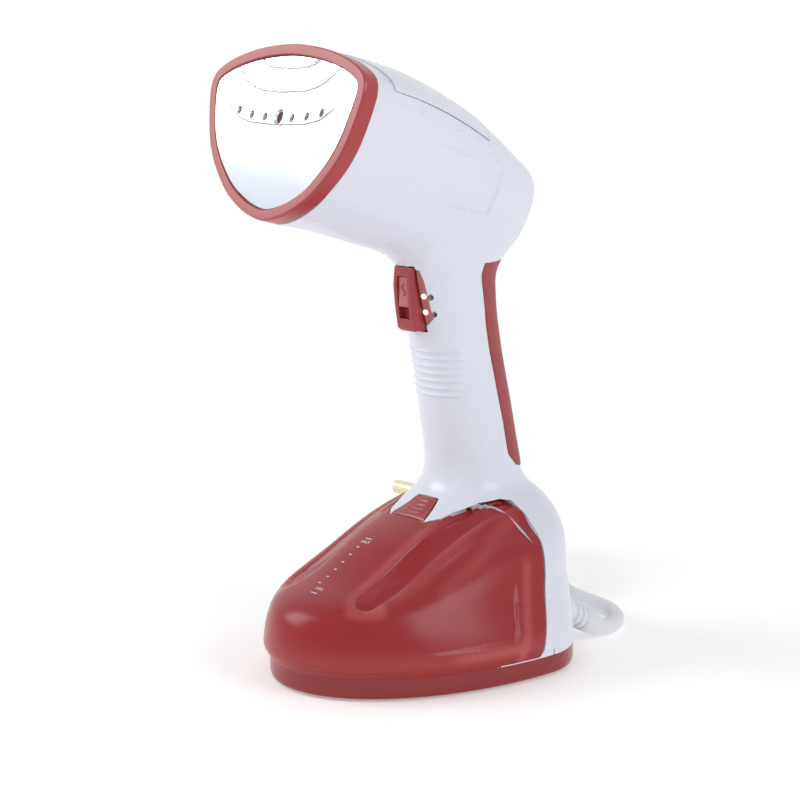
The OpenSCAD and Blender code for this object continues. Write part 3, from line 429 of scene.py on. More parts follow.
def on_skin(points):
    """Where points lie along and round the outside, and how far outside it."""
    near = np.array([tree.find(p)[1] for p in points])
    place, angle = grid_place[near], grid_angle[near]
    step = 1e-3
    for _ in range(6):
        base = skin_point(place, angle)
        along = (skin_point(place + step, angle) - base) / step
        round_it = (skin_point(place, angle + step) - base) / step
        gap = points - base
        aa, rr = (along ** 2).sum(1), (round_it ** 2).sum(1)
        ar = (along * round_it).sum(1)
        ga, gr = (gap * along).sum(1), (gap * round_it).sum(1)
        det = np.maximum(aa * rr - ar ** 2, 1e-9)
        place = np.clip(place + np.clip((ga * rr - gr * ar) / det, -.06, .06), 0, 17)
        angle = angle + np.clip((gr * aa - ga * ar) / det, -.03, .03)
    gap = points - skin_point(place, angle)
    out = np.cross(round_it, along)
    off = (gap * out).sum(1) / np.linalg.norm(out, axis=1)
    beside = np.linalg.norm(gap, axis=1) - np.abs(off) > 0.25
    return place, angle, np.where(beside, 99, off)


def facing(place, angle, dressed=True):
    """Points and outward directions of the dressed outside."""
    step = 0.02
    base = skin_point(place, angle, dressed)
    along = skin_point(place + step, angle, dressed) - skin_point(place - step, angle, dressed)
    round_it = skin_point(place, angle + step, dressed) - skin_point(place, angle - step, dressed)
    out = np.cross(round_it, along)
    return base, out / np.linalg.norm(out, axis=1)[:, None]


def line_gap(p, line):
    """Distance in the side view from points to a line of (y, z) points."""
    line = np.array(line, float)
    best = np.full(len(p), 1e9)
    for a, b in zip(line, line[1:]):
        share = np.clip(((p[:, 1:] - a) @ (b - a)) / ((b - a) @ (b - a)), 0, 1)
        best = np.minimum(best, np.linalg.norm(p[:, 1:] - a - share[:, None] * (b - a), axis=1))
    return best


def moulding(node, name, body, material, relief, grain, proud=0.0, wall=2.2, marks=None):
    """A CAD shell with its outside brought onto the smooth outside, and relief pressed into it.

    relief gives the height in mm at points of the outside, grain the longest edge there, and
    marks a share from 0 to 1 that the material reads, such as the tank's painted highlights.
    """
    bm = of_node(node)
    outer = bm.verts.layers.float.new("outer")
    bm.normal_update()
    place, angle, off = on_skin(np.array([v.co for v in bm.verts]) / MM)
    for v, gap, way in zip(bm.verts, off - proud, facing(place, angle, False)[1]):
        v[outer] = float(-wall * 0.45 < gap < 0.5
                         and any(f.normal.dot(way) > 0.5 for f in v.link_faces))
    for _ in range(9):
        edges = [e for e in bm.edges if e.verts[0][outer] > 0.99 and e.verts[1][outer] > 0.99]
        ends = np.array([(*e.verts[0].co, *e.verts[1].co) for e in edges]) / MM
        length = np.linalg.norm(ends[:, :3] - ends[:, 3:], axis=1)
        longest = grain((ends[:, :3] + ends[:, 3:]) / 2)
        long = [e for e, much in zip(edges, length > longest) if much]
        if not long:
            break
        halve(bm, long)
    outside = np.array([v[outer] > 0.99 for v in bm.verts])
    points = np.array([v.co for v in bm.verts]) / MM
    place, angle, off = on_skin(points)
    base, out = facing(place, angle)
    height = relief(base) + proud
    # What lies behind the outside keeps its distance from it where the head is dressed
    moved = points + (base - skin_point(place, angle)) * rise((5 + off) / 2)[:, None]
    slope = np.stack([(relief(base + h) - relief(base - h)) / 0.1 for h in np.eye(3) * 0.05], 1)
    slope -= (slope * out).sum(1)[:, None] * out
    normal = out - slope
    normal /= np.linalg.norm(normal, axis=1)[:, None]
    bm.verts.ensure_lookup_table()
    for v, spot in zip(bm.verts, np.where(outside[:, None], base + out * height[:, None], moved)):
        v.co = Vector(spot) * MM
    bm.normal_update()
    mesh = meshed(bm, name)
    corner = np.array([loop.vertex_index for loop in mesh.loops]).reshape(-1, 3)
    flat = np.array([face.normal for face in mesh.polygons])
    skin = outside[corner].all(1) & ((flat * out[corner[:, 0]]).sum(1) > 0.35)
    normals = np.where(skin[:, None, None], normal[corner], flat[:, None, :].repeat(3, 1))
    made = linked(name, mesh, material)
    mesh.shade_smooth()
    if marks:
        written(mesh, "marks", np.where(outside, marks(base), 0))
    mesh.normals_split_custom_set(normals.reshape(-1, 3).tolist())
    return stands(made, body, [node])


TANK_LINE = [(-70, 8.6), (17.4, 8.6), (18, 12), (24.4, 28.4), (26.5, 37.7), (27, 44), (26, 47.4),
             (23, 48), (16.7, 47.4), (10.4, 45.7), (4.8, 44.1)]


def softened(gap, wide=0.45, deep=0.2):
    """Height near an edge that is rounded over."""
    return -deep * np.clip(1 - gap / wide, 0, 1) ** 2


def tank_relief(p):
    x, y, z = np.abs(p[:, 0]), p[:, 1], p[:, 2]
    across = x - 16.2
    far = np.hypot(across / 5.2, np.minimum(y + 28.5, 0) / 5.4)
    start = 0.42 - 0.3 * rise(across / 4 + 0.5)
    scoop = -1.7 * (1 - rise((far - start) / (1 - start))) * rise((z - 20) / 4)
    left, right = 21.2, 25 + (y + 24) * 0.11
    valley = 1 - np.clip(np.abs((x - (left + right) / 2) / ((right - left) / 2)), 0, 1) ** 2
    dip = -0.9 * valley ** 2 * rise((y + 24) / 22) * rise((z - 22) / 6)
    # The shallow panel on each flank
    edge = 7.2 + (z - 9.2) * 0.333
    inward = np.minimum(edge - y, z - 12.4)
    panel = -0.4 * rise(inward / 1.3) * rise((31 - z) / 9) * rise((x - 24) / 6)
    panel *= rise((y + 25) / 20)
    return scoop + dip + panel + softened(line_gap(p, TANK_LINE))


def tank_grain(p):
    edge = line_gap(p, TANK_LINE)
    return np.minimum(0.5 + 0.8 * edge, 1.3)


def near_line(p, line, wide):
    """1 on a line of (x, y) points seen from above, falling to 0 at wide from it."""
    q = np.stack([p[:, 2], np.abs(p[:, 0]), p[:, 1]], 1)
    return np.exp(-(line_gap(q, line) / wide) ** 2)


def tank_painted_highlights(p):
    """Painted highlight: paler bands where the wall turns, for sheen and light through the clear
    plastic.
    """
    x, y, z = np.abs(p[:, 0]), p[:, 1], p[:, 2]
    top = rise((z - 22) / 3)
    outer = [(10.3, 6), (11.2, -8), (11, -24), (12.2, -31), (15.5, -34.2), (19, -33),
             (20.8, -28.5)]
    inner = [(12.4, 8), (14.4, -6), (15, -20), (15.6, -27.5), (18, -30.2), (20, -28)]
    crescent = np.clip(near_line(p, outer, 1.6) + near_line(p, inner, 1.6), 0, 1)
    crescent *= rise((10 - y) / 16)
    ridge = near_line(p, [(20.5, -29), (21.6, -14), (20.6, 4), (18.6, 14), (17.4, 19)], 1.5)
    flank = near_line(p, [(27.5, -10), (27, 4), (24, 17), (22.5, 22)], 1.8)
    # Upright painted highlight bands low on the flank, either side of the panel's rear edge
    behind = y - (7.4 + (z - 9.2) * 0.36)
    upright = np.exp(-((behind - 2.6) / 1.7) ** 2) * rise((36 - z) / 5) * rise((x - 26) / 4)
    below = np.exp(-((z - 10.8) / 1.5) ** 2) * rise((x - 26) / 6) * rise((y + 16) / 8)
    below *= behind < 3
    low = 0.35 * np.exp(-((z - 11) / 3) ** 2)
    return np.clip(top * (0.85 * crescent + 0.5 * ridge * rise((y + 30) / 10) + 0.35 * flank)
                   + 0.7 * upright + 0.6 * below + low, 0, 1)


tank_paint = Finish("clear dark red")
shade = tank_paint.noise(45, 3)
# The marks attribute holds the painted highlight: where it is high, the colour blends to a paler
# red.
band = tank_paint.node("ShaderNodeAttribute", {"attribute_name": "marks"}, out=2)
dark = tank_paint.blend(shade, (0.34, 0.020, 0.022, 1), (0.29, 0.015, 0.018, 1))
tank_paint.feed(tank_paint.shader, {
    "Base Color": tank_paint.blend(band, dark, (0.45, 0.085, 0.08, 1)),
    "Roughness": 0.2 + 0.1 * tank_paint.noise(300), "Specular IOR Level": 0.3,
    "Normal": tank_paint.node("ShaderNodeBump", None, {
        "Strength": 0.3, "Distance": 0.00001, "Height": tank_paint.noise(700)})})
# The tank's marks are its painted highlights.
moulding("water_tank", "tank_shell", "tank", tank_paint.material, tank_relief, tank_grain,
         marks=tank_painted_highlights)

# ---- housings ------------------------------------------------------------------------------
# Glossy white shells, split along the side, with finger ribs round the front of the grip and a
# sunken panel on each side of the head. A proud cover closes the top of the head.
SEAM = [(22, 0), (22.4, 10.5), (26.5, 21), (30, 31.5), (30.3, 38), (30.5, 41.5), (29.5, 46),
        (28.3, 50), (27.8, 59), (25, 77), (22, 90), (17.5, 105), (14.5, 119), (15.5, 132),
        (18.8, 144.5), (13.5, 151.5)]
COVER_LINE = [(-31, 190), (-31, 165.5), (13.5, 151.5), (20, 170)]
INLAY_LINE = [(50, 117.5), (19.3, 117.5), (18.8, 114), (21.6, 100), (25.6, 85), (29, 70.5),
              (30.5, 60), (34, 56.5), (38, 55.5), (50, 55.5)]


def housing_relief(p):
    x, y, z = np.abs(p[:, 0]), p[:, 1], p[:, 2]
    # Sunken panel: inside its top, rear and bottom lines, and running out towards the face
    top = (150.9 - z) * 0.96 - y * 0.281
    bottom = (z - 134.7) * 0.978 + y * 0.208
    rear = (19.4 - y) * 0.97 + (z - 144.5) * 0.24
    inside = np.minimum(np.minimum(top, rear), bottom * 1.6)
    sunk = -0.85 * rise(inside / 1.5) * rise((y + 22) / 26) * rise((x - 6) / 4)
    ribs = 0.42 * (0.5 + 0.5 * np.cos((z - 92.1) * 2 * math.pi / 2.2)) ** 2
    ribs *= rise((92.9 - z) / 0.8) * rise((z - 78.1) / 0.8) * rise((16 - y) / 3)
    return (sunk + ribs + softened(line_gap(p, SEAM), 0.3, 0.12) + softened(line_gap(p, TANK_LINE))
            + softened(line_gap(p, COVER_LINE), 0.3, 0.1) * (z > 148)
            + softened(line_gap(p, INLAY_LINE), 0.35, 0.12) * (y > 15))


def housing_grain(p):
    y, z = p[:, 1], p[:, 2]
    size = np.full(len(p), 2.6)
    size[(z > 128) & (z < 158) & (y > -24) & (y < 22)] = 0.9
    size[(z > 77.5) & (z < 93.5) & (y < 17)] = 0.5
    for line in (SEAM, TANK_LINE, COVER_LINE, INLAY_LINE):
        size = np.minimum(size, 0.5 + 0.9 * line_gap(p, line))
    return size


white = moulded("glossy white", (0.74, 0.77, 0.86), rough=0.27, shade=0.985, grain=800,
                dent=0.00001, smear=25)
moulding("front_housing", "front_shell", "base", white, housing_relief, housing_grain)
moulding("rear_cover", "rear_shell", "base", white, housing_relief, housing_grain)
moulding("head_top_cover", "top_cover", "base", white,
         lambda p: softened(line_gap(p, COVER_LINE), 0.5, 0.25),
         lambda p: np.where(line_gap(p, COVER_LINE) < 0.6, 0.6, 3), proud=0.4, wall=1.4)
inlay_finish = moulded("satin dark red", (0.33, 0.040, 0.045), rough=0.5, grain=2200, dent=0.00003)
moulding("grip_inlay", "grip_pad", "base", inlay_finish,
         lambda p: softened(line_gap(p, INLAY_LINE), 0.5, 0.2),
         lambda p: np.where(line_gap(p, INLAY_LINE) < 0.7, 0.6, 2.5), proud=0.2, wall=1.2)

# ---- foot ----------------------------------------------------------------------------------
# A glossy dark red band closes the base from below, and the rim of the white tray shows over it.
FOOT_MIDDLE, FOOT_HALF, FOOT_FRONT, FOOT_REAR, FOOT_FLATS, RIM_FROM = 22.1, 40, 65.1, 27.9, 40, 0.9


def rim_smoothed(node, name, material, longest=1.6):
    """A CAD piece of the foot with the flats of its egg-shaped rim rounded out."""
    bm = of_node(node)

    def turned_to(v):
        y = v.co.y / MM - FOOT_MIDDLE
        return v.co.x / MM / FOOT_HALF, y / (FOOT_FRONT if y < 0 else FOOT_REAR)

    for _ in range(4):
        halve(bm, [e for e in bm.edges if e.calc_length() > longest * MM
                   and min(math.hypot(*turned_to(v)) for v in e.verts) > RIM_FROM])
    knots = []
    for i in range(FOOT_FLATS):
        way = math.radians(i * 360 / FOOT_FLATS - 90)
        reach = FOOT_FRONT if i < 10 or i > 30 else FOOT_REAR
        knots.append(math.atan2(math.sin(way) / reach, math.cos(way) / FOOT_HALF))
    knots = np.unwrap(knots + [knots[0]])
    for v in bm.verts:
        x, y = turned_to(v)
        if math.hypot(x, y) > RIM_FROM:
            turn = (math.atan2(y, x) - knots[0]) % (2 * math.pi) + knots[0]
            i = min(int(np.searchsorted(knots, turn, side="right")) - 1, FOOT_FLATS - 1)
            half, off = (knots[i + 1] - knots[i]) / 2, turn - (knots[i + 1] + knots[i]) / 2
            grow = math.cos(off) / math.cos(half)
            v.co.x, v.co.y = v.co.x * grow, (v.co.y - FOOT_MIDDLE * MM) * grow + FOOT_MIDDLE * MM
    return put(bm, name, "base", material, [node], smooth=28)


foot_finish = moulded("glossy deep red", (0.27, 0.016, 0.019), rough=0.22, grain=700, dent=0.00001)
rim_smoothed("base_cover", "foot_band", foot_finish)
rim_smoothed("base_tray", "tray_rim", white)

# ---- head: ring and steam plate -------------------------------------------------------------
# A moulded ring clips over the front of the head and holds the polished plate, which is pressed
# into three curved steps with seven oval vents in the lowest.
LEAN = math.radians(14)
TIP = Vector((0, -52, 132))
UP_FACE = Vector((0, math.sin(LEAN), math.cos(LEAN)))
INTO = Vector((0, math.cos(LEAN), -math.sin(LEAN)))


def face_loop(bm, inset, depth, count=200):
    """A loop of vertices and edges round the face, inset from its rim and set back by depth."""
    way = np.linspace(0, 2 * math.pi, count, endpoint=False)
    at, before, after = (np.stack(face_outline(way + step), 1) for step in (0, -0.02, 0.02))
    along = after - before
    out = np.stack([along[:, 1], -along[:, 0]], 1) / np.linalg.norm(along, axis=1)[:, None]
    made = [bm.verts.new((TIP + Vector((x, 0, 0)) + UP_FACE * v + INTO * depth) * MM)
            for x, v in at - inset * out]
    return [bm.edges.new((a, b)) for a, b in zip(made, made[1:] + made[:1])]


def ring(profile):
    """A ring round the face through a closed profile of (inset, depth) points."""
    bm = bmesh.new()
    loops = [face_loop(bm, *spot) for spot in profile]
    for one, two in zip(loops, loops[1:] + loops[:1]):
        bmesh.ops.bridge_loops(bm, edges=one + two)
    return bm


red = moulded("ring red", (0.40, 0.040, 0.045), rough=0.3, grain=900, dent=0.00001)
face_red = Finish("ring face red")
face_red.feed(face_red.shader, {
    "Base Color": face_red.blend(face_red.noise(60, 3), (0.50, 0.155, 0.155, 1),
                                 (0.46, 0.13, 0.13, 1)),
    "Roughness": 0.32 + 0.1 * face_red.noise(400), "Specular IOR Level": 0.4})
bezel = put(ring([(2.9, 0.9), (2.9, -0.2), (2.65, -0.45), (0.75, -0.5), (0.4, -0.46), (0.2, -0.3),
                  (0.1, 0), (0, 0.35), (0, 4.3), (1.5, 4.3), (1.5, 3.4), (6, 3.0), (6, 1.7),
                  (2.9, 1.7)]), "bezel_ring", "base", red, ["bezel"], smooth=32)
bezel.data.materials.append(face_red.material)
for side in bezel.data.polygons:
    if -Vector(side.normal).dot(INTO) > 0.8 and (Vector(side.center) - TIP * MM).dot(INTO) < 0:
        side.material_index = 1
put(ring([(2.85, 1.4), (2.85, 0.2), (3.2, 0.2), (3.2, 1.4)]), "plate_seal", "base",
    moulded("brown seal", (0.06, 0.02, 0.016), rough=0.5, grain=1500))

# The steps, as half lines of (x, v) from the middle of the face outwards
CREASES = [[(0, 44), (6.5, 44.15), (10.5, 44.6), (14, 46)],
           [(0, 38.2), (8, 38.5), (13, 39.2), (17.5, 40.6), (19.8, 42.2), (23, 46)],
           [(0, 31.3), (9, 31.6), (16, 32.6), (20, 34.9), (24.5, 38), (29, 42)]]
STEPS = [[(0, 42.3), (5, 42.45), (8.5, 42.9), (10.8, 43.7), (12, 44.8), (14, 47)],
         [(0, 35.8), (8, 36.1), (13, 37.2), (16.5, 38.9), (19.5, 41.3), (24, 46)],
         [(0, 26.9), (11, 27.4), (16.8, 28.6), (21, 31.3), (25.5, 35.2), (29, 39)]]
VENTS = [(0, 29.1, 1.75, 2.15)] + [(side * x, v, 0.95, 1.15) for side in (-1, 1)
                                  for x, v in ((5.6, 29), (11.4, 29.5), (17.1, 30.6))]


def side_of(x, v, line):
    """How far points of the face lie above a half line."""
    x = np.abs(x)
    height = np.interp(x, *zip(*line))
    lean = (np.interp(x + 0.2, *zip(*line)) - np.interp(x - 0.2, *zip(*line))) / 0.4
    return (v - height) / np.sqrt(1 + lean ** 2)


def vent_reach(x, v):
    return np.min([np.hypot((x - a) / wide, (v - b) / tall) for a, b, wide, tall in VENTS], 0)


def bowed(v):
    return 1.0 * (1 - ((v - 26) / 22) ** 2)


def plate_height(x, v):
    height = bowed(v)
    for crease, step in zip(CREASES, STEPS):
        above, below = side_of(x, v, crease), side_of(x, v, step)
        share = np.clip(below / np.maximum(below - above, 0.2), 0, 1)
        height = height + (0.45 * (1 - share) * rise((below + 0.12) / 0.3)
                           * rise((24 - np.abs(x)) / 6))
    return height - 0.9 * (1 - rise((vent_reach(x, v) - 0.78) / 0.3))


bm = bmesh.new()
bmesh.ops.contextual_create(bm, geom=face_loop(bm, 3.05, 0, 160))
bmesh.ops.triangulate(bm, faces=bm.faces)
for _ in range(14):
    edges = list(bm.edges)
    middle = np.array([(e.verts[0].co + e.verts[1].co) / 2 for e in edges]) / MM - np.array(TIP)
    x, v = middle[:, 0], middle @ np.array(UP_FACE)
    fine = np.min([np.abs(side_of(x, v, line)) for line in CREASES + STEPS], 0)
    near_vents = 0.22 + 0.8 * np.maximum(vent_reach(x, v) - 1.2, 0)
    grain = np.minimum(np.minimum(0.3 + 0.7 * fine, 2), near_vents)
    long = [e for e, much in zip(edges, grain) if e.calc_length() > much * MM]
    if not long:
        break
    halve(bm, long)
spots = np.array([v.co for v in bm.verts]) / MM - np.array(TIP)
x, v = spots[:, 0], spots @ np.array(UP_FACE)
height = plate_height(x, v)
lean_x = (plate_height(x + 0.04, v) - plate_height(x - 0.04, v)) / 0.08
lean_v = (plate_height(x, v + 0.04) - plate_height(x, v - 0.04)) / 0.08
front = -np.outer(np.ones(len(x)), INTO) - np.outer(lean_x, (1, 0, 0)) - np.outer(lean_v, UP_FACE)
front /= np.linalg.norm(front, axis=1)[:, None]
for vert, much in zip(bm.verts, height):
    vert.co += INTO * (0.55 - much) * MM
bm.normal_update()
if sum(face.normal.dot(INTO) for face in bm.faces) > 0:
    bmesh.ops.reverse_faces(bm, faces=bm.faces)
mesh = meshed(bm, "steam_plate")
# The line share is painted shade: dark along the foot of each step, fainter under each crease.
below = np.min([np.abs(side_of(x, v, line)) for line in STEPS], 0)
above = np.min([np.abs(side_of(x, v, line) + 0.1) for line in CREASES], 0)
inside = rise((25 - np.abs(x)) / 5)
for name, value in (("vent", 1 - rise((vent_reach(x, v) - 0.72) / 0.16)),
                    ("line", inside * np.clip(0.85 * np.exp(-(below / 0.2) ** 2)
                                              + 0.3 * np.exp(-(above / 0.18) ** 2), 0, 1)),
                    ("step", np.clip(height - bowed(v), 0, 0.5) * 2)):
    written(mesh, name, value)
mesh.shade_smooth()
mesh.normals_split_custom_set([front[loop.vertex_index].tolist() for loop in mesh.loops])
polish = Finish("polished plate")
painted_crease_shade = polish.node("ShaderNodeAttribute", {"attribute_name": "line"}, out=2)
vents = polish.node("ShaderNodeAttribute", {"attribute_name": "vent"}, out=2)
steps = polish.node("ShaderNodeAttribute", {"attribute_name": "step"}, out=2)
steel = polish.blend(polish.noise(40, 3), (0.68, 0.73, 0.81, 1), (0.74, 0.78, 0.85, 1))
# Painted highlight: the raised strips of the steps blend to near white.
steel = polish.blend(steps, steel, (0.95, 0.95, 0.96, 1))
# Painted shade darkens the steel to grey along the steps and creases.
steel = polish.blend(painted_crease_shade, steel, (0.22, 0.24, 0.26, 1))
polish.feed(polish.shader, {
    # The vents are shallow dips painted nearly black: painted shade for the open holes.
    "Base Color": polish.blend(vents, steel, (0.07, 0.006, 0.006, 1)),
    "Metallic": (1 - vents) * 0.85, "Roughness": 0.16 + 0.06 * polish.noise(200) + 0.4 * vents})
stands(linked("steam_plate", mesh, polish.material), "base", ["faceplate"])

# ---- trigger, slider and lights ------------------------------------------------------------
# The trigger is a red shell on a steel pin. A paler slider in its slot holds it for steady steam.
# A paler wedge behind it carries two small lights.


def eased_copy(node, name, body, material, edge, corners=None):
    """A CAD piece with its sharp edges rounded, and the edges that corners picks rounded first."""
    bm = of_node(node)
    bmesh.ops.dissolve_limit(bm, angle_limit=math.radians(3), verts=bm.verts, edges=bm.edges)
    for picked, wide, parts in ((corners, 2.4, 6), (None, edge, 3)):
        if picked is None and wide != edge:
            continue
        rounded(bm, [e for e in bm.edges if len(e.link_faces) == 2
                     and e.calc_face_angle(0) > math.radians(28)
                     and (picked is None or picked(e))], wide, parts)
    return put(bm, name, body, material, [node], smooth=35)


def low_corner(e):
    one, two = (v.co / MM for v in e.verts)
    return (abs(one.x) > 3.3 and abs(one.x - two.x) < 0.01 and max(one.z, two.z) < 98.4
            and abs(one.y - two.y) > 2)


trigger_red = moulded("trigger red", (0.34, 0.030, 0.036), rough=0.27, grain=900, dent=0.00001)
eased_copy("trigger", "trigger_shell", "trigger", trigger_red, 0.5, low_corner)
pale_red = moulded("slider red", (0.47, 0.125, 0.125), rough=0.34, grain=900, dent=0.00001)
eased_copy("lock_slider", "slider_cap", "lock_slider", pale_red, 0.22)

# A rising curl of steam stands up a little on the slider
CURL_R = 0.2
curl = [Vector((0.9 * math.sin(t * 2.6) * (1 - 0.25 * t), -0.12, 108.6 + 1.35 * t))
        for t in np.linspace(0, 2.6, 16)]
bm = bmesh.new()
for a, b in zip(curl, curl[1:]):
    bmesh.ops.create_icosphere(bm, subdivisions=1, radius=CURL_R * MM,
                               matrix=Matrix.Translation(a * MM))
    along = (b - a).to_track_quat("Z", "Y").to_matrix().to_4x4()
    bmesh.ops.create_cone(bm, cap_ends=False, segments=8, radius1=CURL_R * MM, radius2=CURL_R * MM,
                          depth=(b - a).length * MM,
                          matrix=Matrix.Translation((a + b) / 2 * MM) @ along)
put(bm, "slider_mark", "lock_slider", moulded("mark red", (0.30, 0.05, 0.05), rough=0.4))

LENS_LINE = [(-3, 116.4), (-3, 98.6), (5.3, 98.6), (6, 102.2), (1.8, 116.4), (-3, 116.4)]
wedge_red = moulded("wedge red", (0.43, 0.12, 0.105), rough=0.25, grain=900, dent=0.00001)
moulding("indicator_lens", "light_wedge", "base", wedge_red,
         lambda p: 0.25 + softened(line_gap(p, LENS_LINE), 0.7, 0.6),
         lambda p: np.minimum(0.3 + 0.6 * line_gap(p, LENS_LINE), 1.5), wall=1.2)
lamp_glow = Finish("white light")
lamp_glow.feed(lamp_glow.shader, {
    "Base Color": lamp_glow.blend(lamp_glow.noise(900), (0.95, 0.95, 0.95, 1),
                                  (0.85, 0.85, 0.86, 1)),
    "Roughness": 0.25, "Emission Strength": 0.5, "Emission Color": (1, 1, 1, 1)})
place, angle, _ = on_skin(np.array([(5.4, 2.4, 108.4), (5.4, 2.4, 103.4)]))
spots, ways = facing(place, angle)
bm = bmesh.new()
for spot, way in zip(spots, ways):
    turned(bm, [(-1, 0.0), (-1, 0.85), (0.35, 0.85), (0.55, 0.72), (0.66, 0.4), (0.7, 0.0)],
           Vector(spot), Vector(way), 20)
put(bm, "light_dots", "base", lamp_glow.material, ["indicator_lights"])

# ---- tank button ---------------------------------------------------------------------------
# A sprung key at the root of the grip frees the tank. Four short ribs stop a thumb slipping.
KEY_AT, KEY_TILT = np.array((5.7, 45.9)), math.radians(28.7)


def key_relief(p):
    across, along = np.abs(p[:, 0]), (p[:, 1:] - KEY_AT) @ (math.cos(KEY_TILT), math.sin(KEY_TILT))
    half = 5.4 - along * 0.28
    edge = np.minimum(half + 1.0 - across, 4.7 - np.abs(along))
    curve = along - 0.05 * across ** 2
    ribs = sum(np.exp(-((curve - at) / 0.32) ** 2) for at in (-2.7, -0.9, 0.9, 2.7))
    return 0.3 * ribs * rise((half - 1.2 - across) / 1.4) - 0.5 * np.clip(1 - edge / 0.8, 0, 1) ** 2


moulding("release_button", "tank_key", "release_button",
         moulded("key red", (0.33, 0.026, 0.030), rough=0.27, grain=900, dent=0.00001),
         key_relief, lambda p: np.full(len(p), 0.4), proud=0.3, wall=1.0)

# ---- level marks ---------------------------------------------------------------------------
# White printed ticks run down the ridge of the tank between a line for full and one for empty.
ink = moulded("white ink", (0.86, 0.84, 0.84), rough=0.45, grain=2500, dent=0.000005)
SLOPE = math.atan2(11.2, 23)


def laid(x, y, z):
    return Matrix.Translation(Vector((x, y, z)) * MM) @ Matrix.Rotation(SLOPE, 4, "X")


bm = bmesh.new()
ticks = [(-3.5 + 0.8 * t * t - 0.5 * t, -14.7 - 14.8 * t, 36.6 - 7.8 * t, 1.1, 0.34)
         for t in np.linspace(0, 1, 6)]
limits = [(-2.6, -11.2, 38.5, 2.6, 0.3), (-0.3, -34.2, 27.3, 2.6, 0.3)]
for x, y, z, wide, tall in limits + ticks:
    bmesh.ops.create_grid(bm, x_segments=3, y_segments=1, size=0.5 * MM, matrix=laid(x, y, z)
                          @ Matrix.Diagonal((wide, tall, 1, 1)))
for word, x, y, z in (("MAX", -2.6, -12.6, 37.8), ("MIN", -0.4, -32.2, 28.2)):
    text = bpy.data.curves.new(word.lower(), "FONT")
    text.body, text.size, text.align_x, text.align_y = word, 1.7 * MM, "CENTER", "CENTER"
    letters = bpy.data.objects.new(word.lower(), text)
    flat = letters.to_mesh()
    flat.transform(laid(x, y, z))
    bm.from_mesh(flat)
    letters.to_mesh_clear()
    bpy.data.objects.remove(letters)
place, angle, _ = on_skin(np.array([v.co for v in bm.verts]) / MM)
base, out = facing(place, angle)
for v, spot, way in zip(bm.verts, base, out):
    v.co = Vector(spot + way * 0.05) * MM
put(bm, "level_marks", "tank", ink, smooth=0)

# ---- inner works ---------------------------------------------------------------------------
# What the shells hide keeps its plain form: cast and pressed metal round the steam chamber, clear
# hoses, white and black switch parts, a green board and plated screws.
cast = dict(rough=0.45, metal=1.0, grain=1600, dent=0.00006)
drawn = dict(rough=0.25, metal=1.0, grain=3000)
for names, finish, colour, how in (
        (("steam_chamber", "chamber_lid"), "cast aluminium", (0.62, 0.62, 0.64), cast),
        (("heat_shield", "thermostat"), "pressed steel", (0.66, 0.66, 0.67), drawn),
        (("heating_element",), "grey steel sheath", (0.36, 0.35, 0.34), dict(cast, rough=0.38)),
        (("inlet_nozzle", "plug_pins"), "plated brass", (0.80, 0.70, 0.45), drawn),
        (("trigger_pin", "trigger_spring", "button_spring", "valve_spring", "pump_plunger"),
         "spring steel", (0.60, 0.60, 0.62), drawn),
        (("cover_screws", "housing_screws", "clamp_screws"), "zinc plate", (0.66, 0.67, 0.70),
         dict(drawn, rough=0.32)),
        (("thermal_fuse",), "glazed ceramic", (0.80, 0.78, 0.72), dict(rough=0.3)),
        (("pump_barrel", "valve_body", "tank_coupling", "valve_poppet"), "ivory plastic",
         (0.76, 0.73, 0.64), dict(rough=0.4)),
        (("pump_coil",), "copper winding", (0.55, 0.20, 0.10), dict(cast, grain=4000)),
        (("suction_hose", "delivery_hose"), "milky silicone", (0.74, 0.75, 0.75), dict(rough=0.35)),
        (("chamber_gasket", "filler_stopper"), "grey silicone", (0.30, 0.29, 0.29),
         dict(rough=0.6)),
        (("coupling_seal", "rubber_feet"), "black rubber", (0.035, 0.035, 0.037), dict(rough=0.7)),
        (("control_board",), "green board", (0.02, 0.16, 0.06), dict(rough=0.35, grain=3000)),
        (("board_parts", "microswitch"), "black plastic", (0.03, 0.03, 0.032), dict(rough=0.4)),
        (("switch_carrier", "lead_clamp"), "white nylon", (0.72, 0.73, 0.74), dict(rough=0.45)),
        (("switch_plunger",), "orange plastic", (0.62, 0.20, 0.04), dict(rough=0.4)),
        (("wiring",), "blue sleeve", (0.05, 0.12, 0.42), dict(rough=0.5, grain=5000))):
    made = moulded(finish, colour, **how)
    for name in names:
        paint(name, made)

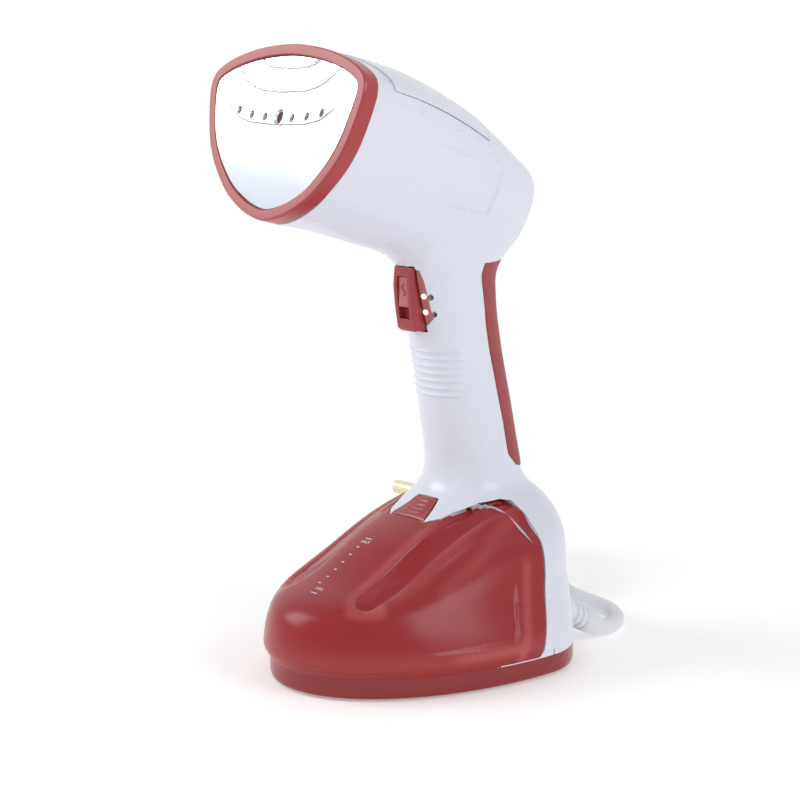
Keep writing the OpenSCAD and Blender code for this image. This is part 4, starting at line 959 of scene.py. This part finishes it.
# ---- lights and floor ----------------------------------------------------------------------
# A white table in a white room, with broad soft lamps at both sides.
floor_finish = Finish("white table")
shown = floor_finish.node("ShaderNodeLightPath", out=0)
floor_finish.feed(floor_finish.shader, {
    "Base Color": (0.9, 0.9, 0.9, 1), "Roughness": 0.6 + 0.1 * floor_finish.noise(30),
    "Specular IOR Level": 0.1, "Emission Color": (1, 1, 1, 1)})
bm = bmesh.new()
bmesh.ops.create_circle(bm, cap_ends=True, segments=96, radius=3)
linked("table", meshed(bm, "table"), floor_finish.material)
place = floor_finish.node("ShaderNodeTexCoord", out=3)
reach = floor_finish.node("ShaderNodeVectorMath", {"operation": "LENGTH"}, {0: place}, out=1)
far = floor_finish.node("ShaderNodeMapRange", {"interpolation_type": "SMOOTHSTEP"}, {
    "Value": reach, "From Min": 0.10, "From Max": 0.24})
fill = floor_finish.node("ShaderNodeEmission", None, {"Color": (1, 1, 1, 1), "Strength": 0.30})
bright = floor_finish.node("ShaderNodeEmission", None, {"Color": (1, 1, 1, 1), "Strength": 1.0})
shaded = Wire(floor_finish, floor_finish.shader.outputs[0])
near = floor_finish.node("ShaderNodeAddShader", None, {0: shaded, 1: fill})
mixed = floor_finish.node("ShaderNodeMixShader", None, {0: far, 1: near, 2: bright})
lit = floor_finish.node("ShaderNodeMixShader", None, {0: shown, 1: near, 2: mixed})
floor_finish.feed(floor_finish.material.node_tree.nodes["Material Output"], {"Surface": lit})

world = bpy.data.worlds.new("white room")
bpy.context.scene.world = world
world.use_nodes = True
room = world.node_tree.nodes["Background"]
path = world.node_tree.nodes.new("ShaderNodeLightPath")
rays = path.outputs["Is Camera Ray"]
for kind in ("Is Glossy Ray", "Is Transmission Ray"):
    either = world.node_tree.nodes.new("ShaderNodeMath")
    either.operation = "ADD"
    world.node_tree.links.new(rays, either.inputs[0])
    world.node_tree.links.new(path.outputs[kind], either.inputs[1])
    rays = either.outputs[0]
level = world.node_tree.nodes.new("ShaderNodeMapRange")
level.inputs["To Min"].default_value, level.inputs["To Max"].default_value = 0.5, 1.0
world.node_tree.links.new(rays, level.inputs["Value"])
world.node_tree.links.new(level.outputs[0], room.inputs["Strength"])
room.inputs["Color"].default_value = (1, 1, 1, 1)

for name, place, size, power in (("left lamp", (-0.75, -0.75, 0.75), 0.7, 6.6),
                                 ("right lamp", (1.1, 0.15, 0.7), 0.6, 4.0)):
    lamp = linked(name, bpy.data.lights.new(name, "AREA"))
    lamp.data.size, lamp.data.energy = size, power
    lamp.location = place
    lamp.rotation_euler = (Vector(place) - Vector((0, 0, 0.08))).to_track_quat("Z", "Y").to_euler()
bpy.context.scene.view_settings.view_transform = "Standard"
